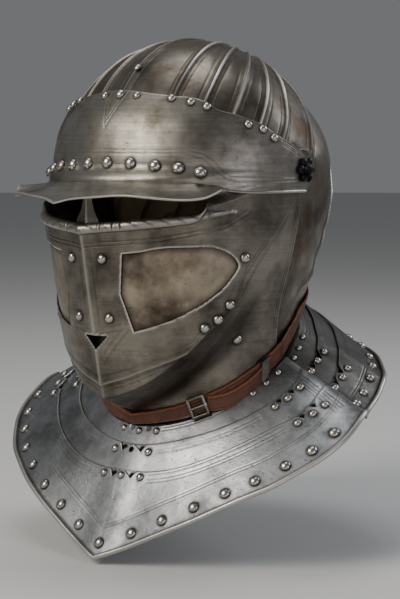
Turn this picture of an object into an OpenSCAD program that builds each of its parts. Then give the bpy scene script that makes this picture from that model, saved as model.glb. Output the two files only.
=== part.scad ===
// Close helmet with gorget plates, in millimetres.
// +X is the wearer's left, -Y the front, +Z up.
// The origin is the middle of the axis that the face plates turn on.
// Each head plate is one layer of a shared head form: the skull innermost, the brow plate outermost.
// A point of a plate is given by its azimuth from the front, its elevation, and its layer.

/* [Skull] */
// half the width of the skull at its widest, without the flats for the pivots
skull_half_w = 96.2; // [94:0.2:98]
// height of the crown above the pivot axis, without the ribs
crown_r = 93; // [91:0.5:95]
// distance from the pivot axis to the back of the skull
back_r = 104.5; // [102:0.5:108]
// distance from the pivot axis to the skull's front edge
front_r = 96; // [94.5:0.5:97]
// height of the raised ribs
rib_h = 1.6; // [1:0.1:1.8]
// half the width of a rib, as an angle about the point where the ribs meet
rib_half_angle = 2.6; // [2:0.1:3]
// how far back from upright the ribs' meeting point lies, in degrees
rib_pole_tilt = 32; // [28:1:36]
// height of the skull's front edge above the pivot axis
opening_top = 6; // [4:0.5:9]
// distance of the skull's side edges in front of the pivot axis
opening_side = 12; // [10:0.5:14]

/* [Head plates] */
// thickness of the head plates
plate_t = 1.3; // [1.1:0.1:1.4]
// step from one plate's outer face to the next plate's outer face
layer = 2; // [1.9:0.1:2.2]
// radius of the round tabs that the plates hang on
tab_r = 14; // [12.5:0.5:14.5]
// radius of the brow plate's end round the pivot
brow_tab_r = 8.5; // [7.5:0.5:14]
// radius of the pivot bolts
bolt_r = 3; // [2.5:0.1:3.5]
// clearance between a bolt and the holes that turn on it
bolt_gap = 0.05; // [0.03:0.01:0.08]

/* [Face] */
// distance from the pivot axis to the line of the keel
face_r = 126.9; // [123:0.5:131]
// lean of the keel line from upright, in degrees
face_lean = 10.2; // [9:0.2:11]
// distance from the pivot axis to the tip of the chin
chin_r = 186; // [184:0.5:188]
// height of the keel over the rounded form
keel_h = 3.5; // [2.5:0.1:4]
// radius of the rope-turned roll at the middle of the face
rope_r = 4; // [3.4:0.1:4.2]
// thickness of the plate behind the windows
backing_t = 1; // [0.8:0.1:1.2]
// length of the windows' slanting front edge, which sets their height
window_h = 58; // [54:1:60]
// half the width of the breath hole
breath_half_w = 10; // [8:0.5:11]

/* [Peak] */
// distance of the peak's tip in front of the pivot axis
peak_r = 146.7; // [142:0.5:150]
// depth of the peak's tip below the pivot axis
peak_drop = 21; // [19.4:0.2:22.4]
// reach of the brow plate just above the peak
brow_r = 101.9; // [101:0.1:103]
// reach of the brow plate at its top edge
brow_top_r = 97.6; // [97.4:0.1:99]

/* [Neck and gorget] */
// half the width of the neck
neck_half_w = 73.5; // [72:0.5:75]
// half the depth of the neck
neck_half_d = 65; // [64:0.5:66]
// how much deeper the neck is at its back
neck_back = 11; // [9:0.5:12]
// height of the neck line below the pivot axis, measured at the pivots
neck_drop = 136.5; // [134:0.5:139]
// rise of the neck line towards the back for each millimetre of depth
neck_slope = 0.69; // [0.66:0.01:0.72]
// half the width of the gorget's rim
rim_half_w = 150.5; // [146:0.5:155]
// depth of the gorget's front tip below the pivot axis
rim_drop = 270; // [264:1:276]
// thickness of the gorget lames
lame_t = 1.2; // [1:0.1:1.3]
// step from one lame's outer face to the next lame's outer face
lame_step = 1.8; // [1.7:0.1:2]
// how far the rear lames lie inside the front lames
rear_inset = 4.9; // [4.6:0.1:5.4]
// how far the front of the gorget sits turned to the wearer's left, in degrees
gorget_turn = 2.8; // [0:0.2:3.4]
// radius of the turned rim
rim_r = 1.9; // [1.6:0.1:2.2]
// radius of the open hole in the second front lame
open_hole_r = 2.2; // [1.8:0.1:2.4]

/* [Rivets] */
// radius of the large brow rivets
brow_rivet_r = 4.3; // [3.4:0.1:4.4]
// radius of the rivets on the face
face_rivet_r = 3.4; // [2.8:0.1:3.6]
// radius of the rivets on the gorget
gorget_rivet_r = 2.9; // [2.4:0.1:3.1]
// radius of the rivet heads along the front gorget's rim
rim_rivet_r = 4; // [2.8:0.1:4.2]
// radius of the rivet heads along the rear gorget's rim
rear_rim_rivet_r = 3.4; // [2.6:0.1:3.6]
// radius of every rivet's shank
shank_r = 1.4; // [1.1:0.1:1.5]

/* [Strap] */
// width of the neck strap
strap_w = 10; // [9:0.2:10.6]
// thickness of the strap's leather
strap_t = 1.9; // [1.6:0.1:2]
// radius of the buckle's wire
buckle_wire_r = 1.2; // [1:0.1:1.3]

/* [Hidden] */

// layers of the head plates: distance of each outer face from the skull's
lower_layer = layer;
upper_layer = 2 * layer;
brow_layer = 3 * layer;
// distance of the skull's pivot flats from the middle
pivot_flat = skull_half_w - 2.2;
// how far the tabs stand proud of their plates, so that 0.3 stays between two tabs
tab_proud = (layer - plate_t - 0.3) / 2;
hole_r = bolt_r + bolt_gap;
// middle of the neck, and the upper edge of the strap's path
neck_y = 5.5;
strap_rise = 6.4;
seat = 0.15;
seat_gap = 0.3;

// tables

// reach of each form from the pivot axis, at angles about that axis (0 front, 90 up, 180 back)
skull_reach = [[-60, 166], [-30, front_r + 1], [5, front_r], [35, crown_r], [125, crown_r],
    [152, crown_r + 2.5], [180, back_r - 4.5], [200, back_r], [215, back_r + 3.5],
    [230, back_r + 12.5], [250, back_r + 37.5], [262, 163]];
// roundness of the cross-section at the same angles: 2 is an ellipse, less is more pointed
skull_round = [[-60, 1.74], [-30, 2.1], [20, 2.1], [60, 2.05], [100, 1.8], [130, 1.8],
    [165, 2.1], [240, 2.12], [264, 1.78], [285, 1.74], [300, 1.74]];
face_reach = [[-110, 166], [-90, 168], [-80, chin_r - 13], [-70, chin_r - 5],
    [-62, chin_r - 1.6], [-57, chin_r]];
face_round = [[-90, 1.78], [-75, 1.75], [-65, 1.85], [-58, 1.92], [-50, 2], [-42, 2.05],
    [20, 2.1]];
brow_reach = [[-20, brow_r + 28], [-12, brow_r + 10], [-4, brow_r + 6], [2.5, brow_r], [17, brow_r - 1.5],
    [35, brow_top_r], [60, brow_top_r + 0.4]];
brow_round = [[-30, 2.05], [20, 2.1], [60, 2.05], [100, 2]];
// azimuths of the ribs about their meeting point, from the back; the rib at 193 is on one side only
rib_angles = [46, 86, 105, 117, 129, 142, 155, 180, 193, 205, 218, 231, 243, 255, 274, 314];

// elevations of edges at azimuths from the front
brow_top_edge = [[0, 34.4], [6, 34.1], [12, 33.3], [18, 32.4], [27, 31], [33, 30.2], [38, 29.7],
    [42, 28.6], [46, 26.9], [50, 24], [57.75, 21.75], [62, 20.2], [68, 18], [73, 14.7],
    [78.25, 11.8], [85, 8.6], [88, 7]];
brow_low_edge = [[0, -4.1], [32, -4.5], [47, -5.2], [52, -6.5], [60, -7.3], [88, -7.9]];
// the peak's edge: azimuth, distance from the upright axis less the tip's, height less the tip's
peak_edge = [[0, 0, 0], [5, -2.4, 2.9], [12, -3.4, 4.4], [20, -6, 5.5], [28, -10.6, 3.9],
    [36, -14.3, 2.6], [43, -16, 3.8], [48, -17.2, 9]];
rope_line = [[0, -18.4], [8, -18], [18, -17.5], [28, -17], [35, -16.6], [41, -16], [44, -13.4],
    [46, -10.2], [48, -8], [51, -6.5], [56, -5.4], [62, -3.8], [68, 0], [76, 4.5], [84, 7], [88, 8]];
rope_taper = [[0, 1], [30, 1], [38, 0.92], [42, 0.75], [44, 0.45], [46, 0.163], [88, 0.163]];
// where the roll runs out on the plate: azimuth, elevation, share of the roll's radius
roll_tail = [[40, -16, 0.85], [43, -15.6, 0.75], [46.5, -15.3, 0.6], [50, -14.9, 0.42],
    [53, -14.7, 0.28], [55.5, -14.6, 0.14]];
upper_low_edge = [[0, -55.8], [11, -55.1], [21, -53.9], [28, -53.2], [35.4, -52.3], [40, -51.3],
    [44.2, -49.3], [51, -47], [58.5, -42.7], [62, -36.9], [66, -32], [70.4, -27.6],
    [75.7, -22.2], [81.6, -16.4], [88, -9.8]];
lower_top_edge = [[0, -51.5], [17, -50.5], [28, -49.8], [36, -48], [44, -46], [51, -43],
    [55, -40], [58.5, -38], [61.7, -34.5], [66, -28.5], [70, -23.5], [76, -17], [82, -11],
    [88, -4], [90.5, -2]];
backing_low_edge = [[0, -45], [10, -46], [17, -48.2], [27, -47.2], [36, -45.5], [42, -43.8],
    [50, -40.4], [55, -37.2], [58, -35.2], [61, -32]];

// the rim of the gorget: azimuth about the neck, distance, height
rim_k = rim_half_w / 150.5;
rim_d = rim_drop - 270;
rim_plan = [[0, 116.3], [11.5, 112.2], [23, 113.3], [33.7, 118], [43, 124], [51.5, 130.2],
    [59.3, 137.2], [66.7, 142.7], [73.9, 148.2], [81.5, 150.5], [90.4, 148], [98.7, 139.6],
    [109.5, 137.9], [116.6, 138.6], [126.4, 136.6], [135.3, 135], [157.6, 130.9], [180, 132]];
rim_level = [[0, -270], [11.5, -261], [23, -250.5], [33.7, -240.5], [43, -231], [51.5, -222],
    [59.3, -214], [66.7, -204.6], [73.9, -195], [81.5, -183.5], [90.4, -170], [98.7, -168],
    [109.5, -160], [116.6, -151], [126.4, -147], [135.3, -141], [157.6, -134], [180, -130]];
// upper edges of the second and third lames, as distances from the neck line
second_top = [[0, 17], [30, 17], [50, 19.5], [67, 22], [85, 23], [92, 19], [107, 21], [115, 19],
    [125, 17], [180, 17]];
third_top = [[0, 37], [26, 39], [50, 40], [67, 42.5], [76, 46], [92, 42], [108, 40],
    [117, 36], [125, 35], [180, 35]];

// small helpers

function last(v) = v[len(v) - 1];
function step_of(tab, x) = max([for (k = [0 : len(tab) - 2]) if (tab[k][0] <= x || k == 0) k]);
// value at x, eased flat at each given point
function eased(tab, x) =
    let (q = min(max(x, tab[0][0]), last(tab)[0]), k = step_of(tab, q),
        t = (q - tab[k][0]) / (tab[k + 1][0] - tab[k][0]))
    tab[k][1] + (tab[k + 1][1] - tab[k][1]) * (1 - cos(180 * t)) / 2;
// slope of a table at its point k, from column c
function slope(tab, k, c) =
    let (a = max(k - 1, 0), b = min(k + 1, len(tab) - 1))
    (tab[b][c] - tab[a][c]) / (tab[b][0] - tab[a][0]);
// value at x on a smooth curve through the given points
function smooth(tab, x, c = 1) =
    let (q = min(max(x, tab[0][0]), last(tab)[0]), k = step_of(tab, q),
        w = tab[k + 1][0] - tab[k][0], t = (q - tab[k][0]) / w,
        a = slope(tab, k, c) * w, b = slope(tab, k + 1, c) * w,
        t2 = t * t, t3 = t2 * t)
    tab[k][c] * (2 * t3 - 3 * t2 + 1) + a * (t3 - 2 * t2 + t)
    + tab[k + 1][c] * (3 * t2 - 2 * t3) + b * (t3 - t2);
function unit(v) = v / norm(v);
function dir(az, el) = [sin(az) * cos(el), -cos(az) * cos(el), sin(el)];
function clamp01(x) = min(max(x, 0), 1);

// the head form

// angle about the pivot axis, 0 at the front and 90 straight up
function turn(d) = atan2(d.z, -d.y);
// half the depth of the neck for a plan azimuth
function neck_depth(a) =
    let (t = clamp01((folded(a) - 125) / 55)) neck_half_d + neck_back * t * t * (3 - 2 * t);
function folded(a) = let (b = abs(a)) b > 180 ? 360 - b : b;
// distance along d to the upright elliptic tube of the neck, none above the chin
function to_neck(d, o) =
    let (a = neck_half_w + o, b = neck_depth(atan2(d.x, -d.y)) + o,
        q = max(pow(d.x / a, 2) + pow(d.y / b, 2), 1e-9),
        p = -2 * d.y * neck_y / (b * b), c = pow(neck_y / b, 2) - 1)
    clamp01((-d.z - 0.2) / 0.3) * (-p + sqrt(p * p - 4 * q * c)) / (2 * q);
// distance to a form of reach r and roundness n in layer o, flat beside the pivots
function to_form(d, r, n, o, tube) =
    let (x = abs(d.x), yz = norm([d.y, d.z]),
        t = pow(pow(x / (skull_half_w + o), n) + pow(yz / r, n), -1 / n),
        s = tube ? to_neck(d, o) : 0,
        m = s > 0 ? pow(pow(t, 20) + pow(s, 20), 1 / 20) : t)
    min(m, (pivot_flat + o) / max(x, 1e-9));
function to_skull(d, o) =
    let (p = turn(d), q = p < -60 ? p + 360 : p)
    to_form(d, eased(skull_reach, q) + o, eased(skull_round, q), o, true);
function to_brow(d, o) =
    let (p = turn(d))
    to_form(d, eased(brow_reach, p) + o - brow_layer, eased(brow_round, p), o, false);
function to_face(d, o) =
    let (p = min(turn(d), 49),
        front = p < -79 ? 1e3 : face_r / cos(p + face_lean) - keel_h,
        under_brow = p < -20 ? 1e3 : eased(brow_reach, p) - brow_layer + upper_layer,
        r = min(front, under_brow, eased(face_reach, p)) + o - upper_layer,
        t = to_form(d, r, eased(face_round, p), o, true))
    t + keel_h * exp(-abs(d.x) * t / 9);
function reach(kind, d, o) =
    kind == "skull" ? to_skull(d, o) : kind == "brow" ? to_brow(d, o) : to_face(d, o);
function at(kind, az, el, o) = let (d = dir(az, el)) d * reach(kind, d, o);
// outward direction of a form
function normal_at(kind, az, el, o) =
    unit(cross(at(kind, az + 0.5, el, o) - at(kind, az - 0.5, el, o),
        at(kind, az, el + 0.5, o) - at(kind, az, el - 0.5, o)));
// elevation at which a form meets the neck line at an azimuth
function neck_elevation(kind, az, o, lo = -80, hi = -30, n = 18) =
    let (m = (lo + hi) / 2, p = at(kind, az, m, o))
    n == 0 ? m : p.z > neck_level(p.y)
        ? neck_elevation(kind, az, o, lo, m, n - 1)
        : neck_elevation(kind, az, o, m, hi, n - 1);
function neck_level(y) = -neck_drop + neck_slope * y;

// solids made of cross-sections

// A plate from a list of closed cross-sections; point k of a section faces point n-1-k across it.
module sections(loops, closed = false) {
    n = len(loops[0]);
    m = len(loops);
    pts = [for (l = loops) each l];
    sides = [for (i = [0 : m - (closed ? 1 : 2)], j = [0 : n - 1])
        let (a = i * n + j, b = i * n + (j + 1) % n,
            c = ((i + 1) % m) * n + (j + 1) % n, d = ((i + 1) % m) * n + j)
        each [[a, b, c], [a, c, d]]];
    half = n / 2;
    caps = closed ? [] : [for (k = [0 : half - 2])
        let (e = (m - 1) * n)
        each [[k, n - 1 - k, n - 2 - k], [k, n - 2 - k, k + 1],
            [e + k, e + n - 2 - k, e + n - 1 - k], [e + k, e + k + 1, e + n - 2 - k]]];
    polyhedron(pts, concat(sides, caps), convexity = 10);
}

function reversed(v) = [for (k = [len(v) - 1 : -1 : 0]) v[k]];
// cross-section of a head plate at one azimuth, at a list of elevations
function layers_at(kind, az, els, o, t) =
    concat([for (e = els) at(kind, az, e, o)], reversed([for (e = els) at(kind, az, e, o - t)]));
// the same from elevation lo up to hi in even rows
function plate_section(kind, az, lo, hi, o, t, rows) =
    layers_at(kind, az, [for (k = [0 : rows]) lo + (hi - lo) * k / rows], o, t);

// azimuths of the columns of a plate that ends at a on both sides, closer at the keel
function columns(a, n) =
    concat([for (k = [n : -1 : 1]) -a * k / n], [-2.5, 0, 2.5], [for (k = [1 : n]) a * k / n]);

// a round tab with its hole, on both sides, for a plate in layer o
module tabs(o, r = tab_r) {
    for (s = [-1, 1])
        translate([s * (pivot_flat + o - plate_t / 2), 0, 0])
            rotate([0, 90, 0])
                difference() {
                    cylinder(h = plate_t + 2 * tab_proud, r = r, center = true, $fn = 48);
                    cylinder(h = plate_t + 2, r = hole_r, center = true, $fn = 48);
                }
}

// rivets

// a domed rivet standing on the face at p, its shank reaching depth under the face
module rivet(p, n, r, h, depth) {
    translate(p)
        rotate([0, acos(n.z), atan2(n.y, n.x)])
            rotate_extrude($fn = 28)
                polygon([[0, -depth], [shank_r, -depth], [shank_r, -seat], [r, -seat],
                    [r * 0.97, h * 0.3], [r * 0.8, h * 0.65], [r * 0.45, h * 0.92], [0, h]]);
}
// rivets on a head plate; spots are azimuth and elevation
module plate_rivets(kind, spots, o, r, h, depth) {
    for (s = spots)
        rivet(at(kind, s[0], s[1], o), normal_at(kind, s[0], s[1], o), r, h, depth);
}
function both_sides(spots) = [for (s = spots) each [s, [-s[0], s[1]]]];

// skull

function pole_dir(a, b) =
    let (p = [0, sin(rib_pole_tilt), cos(rib_pole_tilt)],
        q = [0, cos(rib_pole_tilt), -sin(rib_pole_tilt)])
    cos(b) * p + sin(b) * (cos(a) * q + sin(a) * [1, 0, 0]);
// height of the ribs: they run out beside the pivots, under the lower bevor and where they meet
function rib_at(a, b, crest) =
    let (d = pole_dir(a, b), p = d * to_skull(d, 0),
        clear_of_bevor = max(clamp01((p.y - 5) / 7), clamp01((atan2(p.z, -p.y) + 6) / 8)))
    crest ? rib_h * clamp01((norm([p.y, p.z]) - 16) / 7) * clamp01((b - 6) / 10)
        * clamp01((p.z - neck_level(p.y) - 25) / 10) * clear_of_bevor : 0;
function inside_edges(p, top, side, up) =
    (p.z > top || p.y > -side) && p.z > neck_level(p.y) + up;
// how far a column runs from the meeting point down to the skull's edge
function column_end(a, top, side, up, lo = 20, hi = 170, n = 18) =
    let (m = (lo + hi) / 2, d = pole_dir(a, m), p = d * to_skull(d, 0))
    n == 0 ? lo : inside_edges(p, top, side, up)
        ? column_end(a, top, side, up, m, hi, n - 1)
        : column_end(a, top, side, up, lo, m, n - 1);
// a bowl about the ribs' meeting point: columns are [angle, on a rib's crest]
module bowl(cols, rows, top, side, up, outer, inner, quilt = 0) {
    m = len(cols);
    ends = [for (c = cols) column_end(c[0], top, side, up)];
    function ring(k, o, q) = [for (i = [0 : m - 1])
        let (a = cols[i][0], t = k / rows, b = 5 + (ends[i] - 5) * t * (1.35 - 0.35 * t),
            d = pole_dir(a, b))
        d * (to_skull(d, o + rib_at(a, b, cols[i][1])) + q * (0.5 - 0.5 * cos(a * 12)))];
    out = [for (k = [0 : rows]) each ring(k, outer, 0)];
    in = [for (k = [0 : rows]) each ring(k, inner, -quilt)];
    w = m * (rows + 1);
    top_dir = pole_dir(0, 0);
    pts = concat(out, in, [top_dir * to_skull(top_dir, outer), top_dir * to_skull(top_dir, inner)]);
    body = [for (k = [0 : rows - 1], i = [0 : m - 1])
        let (a = k * m + i, b = k * m + (i + 1) % m, c = b + m, d = a + m)
        each [[a, c, b], [a, d, c], [w + a, w + b, w + c], [w + a, w + c, w + d]]];
    edge = [for (i = [0 : m - 1])
        let (a = rows * m + i, b = rows * m + (i + 1) % m)
        each [[a, w + b, b], [a, w + a, w + b]]];
    cap = [for (i = [0 : m - 1])
        each [[i, (i + 1) % m, 2 * w], [w + i, 2 * w + 1, w + (i + 1) % m]]];
    polyhedron(pts, concat(body, edge, cap), convexity = 10);
}
function rib_columns() =
    [for (r = rib_angles) each [[r - rib_half_angle, false], [r, true], [r + rib_half_angle, false]]];
// columns between the ribs, where two ribs stand far apart
function gap_columns() =
    [for (i = [0 : len(rib_angles) - 1])
        let (a = rib_angles[i] + rib_half_angle,
            b = (i == len(rib_angles) - 1 ? 360 + rib_angles[0] : rib_angles[i + 1])
                - rib_half_angle,
            n = floor((b - a) / 9.5))
        each [for (k = [1 : 1 : n]) [a + (b - a) * k / (n + 1), false]]];
function wrapped(c) = [c[0] >= 360 ? c[0] - 360 : c[0], c[1]];
function sorted(v) = len(v) < 2 ? v :
    let (p = v[floor(len(v) / 2)])
    concat(sorted([for (x = v) if (x[0] < p[0]) x]), [p], sorted([for (x = v) if (x[0] > p[0]) x]));

module skull() {
    color("DimGray")
        difference() {
            bowl(sorted([for (c = concat(rib_columns(), gap_columns())) wrapped(c)]), 16,
                opening_top, opening_side, 0, 0, -plate_t);
            rotate([0, 90, 0])
                cylinder(h = 2 * pivot_flat + 10, r = bolt_r, center = true, $fn = 48);
        }
}
// padded lining, quilted in gores
module skull_lining() {
    color("Tan")
        bowl([for (k = [0 : 23]) [k * 15, false]], 10,
            opening_top + 12, opening_side - 22, 40, -plate_t - 1.1, -plate_t - 7.5, 2.5);
}
module skull_rivets() {
    color("Silver")
        plate_rivets("skull", [[0, 48.8]], rib_h, 2.9, 1.3, 1.5 + rib_h);
}

// lower bevor

// n rows up to the crease of the chin and m rows above it; the crease keeps a share of the height
function creased_levels(a, lo, hi, n, m, least, most) =
    let (crease = -atan(tan(57.2) * cos(a)),
        mid = max(min(crease, lo + (hi - lo) * most), lo + (hi - lo) * least))
    concat([for (k = [0 : n - 1]) lo + (mid - lo) * k / n],
        [for (k = [0 : m]) mid + (hi - mid) * k / m]);
module lower_bevor() {
    color("SlateGray")
        union() {
            sections([for (a = columns(90.5, 15))
                layers_at("face", a, creased_levels(a, neck_elevation("face", a, lower_layer),
                    smooth(lower_top_edge, abs(a)), 7, 6, 0.4, 0.8), lower_layer, plate_t)]);
            tabs(lower_layer);
        }
}
module lower_bevor_rivets() {
    color("Silver")
        plate_rivets("face", both_sides([[63.6, -58]]), lower_layer + 0.5, 3.6, 2.3,
            plate_t + 0.4);
}

// upper bevor

upper_rows = 18;
// cross-section at one azimuth: outer face, the roll at the top, inner face
function upper_section(az) =
    let (top = smooth(rope_line, az), lo = smooth(upper_low_edge, az),
        r = max(rope_r * smooth(rope_taper, az), plate_t / 2),
        out = [cos(top), sin(top)] * reach("face", dir(az, top), upper_layer),
        c = [out[0] + min(rope_r - r, 0) - max(plate_t / 2, r * 0.35), out[1]],
        drop = asin(min(r * 0.9 / norm(out), 1)),
        hi = top - drop,
        els = creased_levels(az, lo, hi, 2, upper_rows - 2, 0.08, 0.4),
        ring = r > plate_t ? [-50, -10, 30, 70, 110, 150, 190, 230]
            : [-20, 11, 42, 74, 106, 138, 169, 200],
        roll = [for (g = ring) [c[0] + r * cos(g), c[1] + r * sin(g)]])
    [for (q = concat([for (e = els) flat_point(az, e, upper_layer)], roll,
            reversed([for (e = els) flat_point(az, e, upper_layer - plate_t)])))
        [q[0] * sin(az), -q[0] * cos(az), q[1]]];
function flat_point(az, el, o) = [cos(el), sin(el)] * reach("face", dir(az, el), o);

// outline of a window, seen along its own direction: across and up
window_az = 36;
window_mid = -80;
function window_outline() =
    let (k = window_h / 58)
    [for (p = [[-41.7, 23.7], [-28.8, 25.3], [-20.5, 27], [-10.7, 28.2], [-0.5, 28.5], [8.9, 28.6],
        [18.9, 28.2], [24.9, 26.6], [30.7, 23.7], [34.6, 19.7], [36.5, 15.5], [34.9, 11.5],
        [31.3, 6.3], [27, 1], [21.5, -3.8], [12.9, -10.2], [3.1, -15.7], [-6.8, -20.6],
        [-18.5, -25], [-30.2, -28.6], [-34.4, -29.9], [-43.3, -3.8]]) [p[0], p[1] * k]];
module window_cut() {
    rotate([0, 0, window_az])
        translate([0, -60, window_mid])
            rotate([90, 0, 0])
                linear_extrude(height = 90)
                    polygon(window_outline());
}
module roll_end()
    for (k = [0 : len(roll_tail) - 2])
        hull()
            for (q = [roll_tail[k], roll_tail[k + 1]])
                translate(at("face", q[0], q[1], upper_layer - 0.35 * q[2] * rope_r))
                    sphere(r = q[2] * rope_r, $fn = 14);
module upper_bevor() {
    low = 9.8;
    color("LightSlateGray")
        difference() {
            union() {
                sections([for (a = columns(88, 16)) upper_section_both(a)]);
                tabs(upper_layer);
                roll_end();
                mirror([1, 0, 0])
                    roll_end();
            }
            window_cut();
            mirror([1, 0, 0])
                window_cut();
            translate([0, -80, -113.8])
                rotate([90, 0, 0])
                    linear_extrude(height = 60)
                        polygon([[-breath_half_w, 0], [0, -low], [breath_half_w, 0]]);
        }
}
function upper_section_both(a) =
    a >= 0 ? upper_section(a) : [for (p = upper_section(-a)) [-p.x, p.y, p.z]];
module upper_bevor_rivets() {
    color("Silver") {
        plate_rivets("face", both_sides([[7, -27.5]]), upper_layer, face_rivet_r, 2.7,
            upper_layer - backing_layer + backing_t + seat_gap + bar_t + seat_gap);
        plate_rivets("face", both_sides([[7.4, -43]]), upper_layer, face_rivet_r, 2.7,
            upper_layer - backing_layer + backing_t + seat_gap);
        plate_rivets("face", both_sides([[59.8, -30.4], [54.2, -43], [49.4, -46], [44.1, -47.4]]),
            upper_layer, face_rivet_r, 2.7, plate_t + 0.1);
    }
}
// the plate seen through the windows
backing_layer = upper_layer - plate_t - 0.4;
module window_backing() {
    color("SaddleBrown")
        sections([for (a = columns(61, 11))
            plate_section("face", a, smooth(backing_low_edge, abs(a)), -23 + abs(a) * 0.035,
                backing_layer, backing_t, 7)]);
}
// the bar across the middle of the sight: a foot behind the keel, then a ridged bar that
// passes behind the roll
bar_top = -17;
bar_t = 1.1;
module sight_bar() {
    inner = backing_layer - backing_t - seat_gap;
    behind_roll = at("face", 0, rope_line[0][1], upper_layer).y + 1.5 * rope_r + 0.3;
    foot = [for (f = [[-29, 8.6], [-26, 8.6], [-23.5, 6]])
        let (m = at("face", 0, f[0], inner), e = at("face", f[1], f[0], inner))
        [[-e.x, e.y, e.z], m, e]];
    bar = [for (f = [[-44.5, 10.4], [-36, 10.4], [-33.2, 9.4], [-30.5, 7.7], [-27.9, 6.2],
            [-24.5, 5], [-21, 4.1], [bar_top, 3.8]])
        [[-f[1], behind_roll + 1.6, f[0]], [0, behind_roll, f[0]], [f[1], behind_roll + 1.6, f[0]]]];
    color("SlateGray")
        sections(reversed([for (l = concat(foot, bar))
            concat(l, [for (q = reversed(l)) q + [0, bar_t, 0]])]));
}

// brow plate with its peak

function brow_section(az) =
    let (lo = smooth(brow_low_edge, az), hi = smooth(brow_top_edge, az),
        t = plate_t,
        els = [for (k = [0 : 8]) hi + (lo - hi) * k / 8],
        plate_out = [for (e = els) [cos(e), sin(e)] * reach("brow", dir(az, e), brow_layer)],
        plate_in = [for (e = els) [cos(e), sin(e)] * reach("brow", dir(az, e), brow_layer - t)],
        c = last(plate_out), i = last(plate_in),
        wide = az <= 48,
        fade = clamp01((52 - az) / 4),
        tip = wide
            ? [peak_r + smooth(peak_edge, az, 1), -peak_drop + smooth(peak_edge, az, 2)]
            : [c[0] + 0.6 + (peak_r + last(peak_edge)[1] - c[0]) * fade,
                c[1] - 1 + (last(peak_edge)[2] - peak_drop - c[1]) * fade],
        bend = [c[0] + (tip[0] - c[0]) * 0.35, c[1] + (tip[1] - c[1]) * 0.72],
        curve = [for (k = [1 : 4]) let (q = k / 4)
            (1 - q) * (1 - q) * c + 2 * q * (1 - q) * bend + q * q * tip],
        under = [for (k = [0 : 3])
            let (a = k == 0 ? c : curve[k - 1], b = curve[k], d = (b - a) / max(norm(b - a), 1e-6))
            b + [d[1], -d[0]] * t])
    concat(plate_out, curve, reversed(under), reversed(plate_in));
module brow_peak_plate() {
    color("DarkGray")
        difference() {
            union() {
                sections(reversed([for (a = concat([-91.7], columns(88, 17), [91.7]))
                    [for (q = brow_section(abs(a))) [q[0] * sin(a), -q[0] * cos(a), q[1]]]]));
                tabs(brow_layer, brow_tab_r);
            }
            rotate([0, 90, 0])
                cylinder(h = 4 * pivot_flat, r = hole_r, center = true, $fn = 48);
        }
}
brow_row = [[-44, -1.2], [-35, 0.3], [-25.5, 1.3], [-16, 1.8], [-6, 2.3], [4.2, 2.7], [14.9, 2.5],
    [25, 1.6], [34, 0.8], [42.2, -0.7]];
brow_groups = [[29.6, 29.3], [38.3, 27.4], [45.3, 25.2], [62, 17.6], [68.3, 15.8], [73, 12.3]];
module brow_rivets() {
    color("Silver") {
        plate_rivets("brow", brow_row, brow_layer, brow_rivet_r, 3.3, plate_t + 2);
        plate_rivets("brow", [[1.8, 32]], brow_layer, 3.6, 2.8, plate_t - 0.1);
        plate_rivets("brow", concat([[12, 31.2], [-8.2, 31.4]], both_sides(brow_groups)),
            brow_layer, 2.9, 2.3, plate_t - 0.1);
    }
}
module brow_lining_band() {
    color("Sienna")
        sections([for (a = columns(47, 9))
            plate_section("brow", a, -0.5 - abs(a) * 0.04, 7 - abs(a) * 0.05,
                brow_layer - plate_t - 1.1, 1.2, 3)]);
}

// pivots

module side(s) {
    if (s > 0) children();
    else mirror([1, 0, 0]) children();
}
face_x = pivot_flat + brow_layer + tab_proud;
module pivot_bolt(s) {
    color("Black")
        side(s)
            translate([pivot_flat - 7.5, 0, 0])
                rotate([0, 90, 0])
                    rotate_extrude($fn = 48)
                        polygon([[0, 0], [bolt_r, 0], [bolt_r, face_x - pivot_flat + 10.6],
                            [4, face_x - pivot_flat + 10.6], [3.6, face_x - pivot_flat + 12],
                            [2, face_x - pivot_flat + 12.8], [0, face_x - pivot_flat + 13]]);
}
// six petals round a raised ring
module pivot_rosette(s) {
    color("Black")
        side(s)
            translate([face_x + 0.05, 0, 0])
                rotate([0, 90, 0])
                    difference() {
                        union() {
                            cylinder(h = 1.4, r = 7, $fn = 48);
                            for (k = [0 : 5])
                                rotate([0, 0, k * 60 + 30])
                                    translate([5.9, 0, 0])
                                        cylinder(h = 2.6, r1 = 3.3, r2 = 2, $fn = 32);
                            cylinder(h = 3.05, r = 4.2, $fn = 48);
                        }
                        translate([0, 0, -1])
                            cylinder(h = 6, r = bolt_r, $fn = 48);
                    }
}
module pivot_nut(s) {
    color("DimGray")
        side(s)
            translate([pivot_flat - plate_t - 4.5, 0, 0])
                rotate([0, 90, 0])
                    difference() {
                        cylinder(h = 4, r = 6.2, $fn = 6);
                        translate([0, 0, -1])
                            cylinder(h = 6, r = bolt_r, $fn = 48);
                    }
}

// gorget

// point of the neck curve at plan azimuth a, o outside the neck tube
function neck_point(a, o) =
    let (w = neck_half_w + o, h = neck_depth(a) + o, x = sin(a), y = -cos(a),
        q = pow(x / w, 2) + pow(y / h, 2), p = 2 * y * (4 - neck_y) / (h * h),
        c = pow((4 - neck_y) / h, 2) - 1, r = (-p + sqrt(p * p - 4 * q * c)) / (2 * q))
    [r * x, 4 + r * y, neck_level(4 + r * y)];
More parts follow.
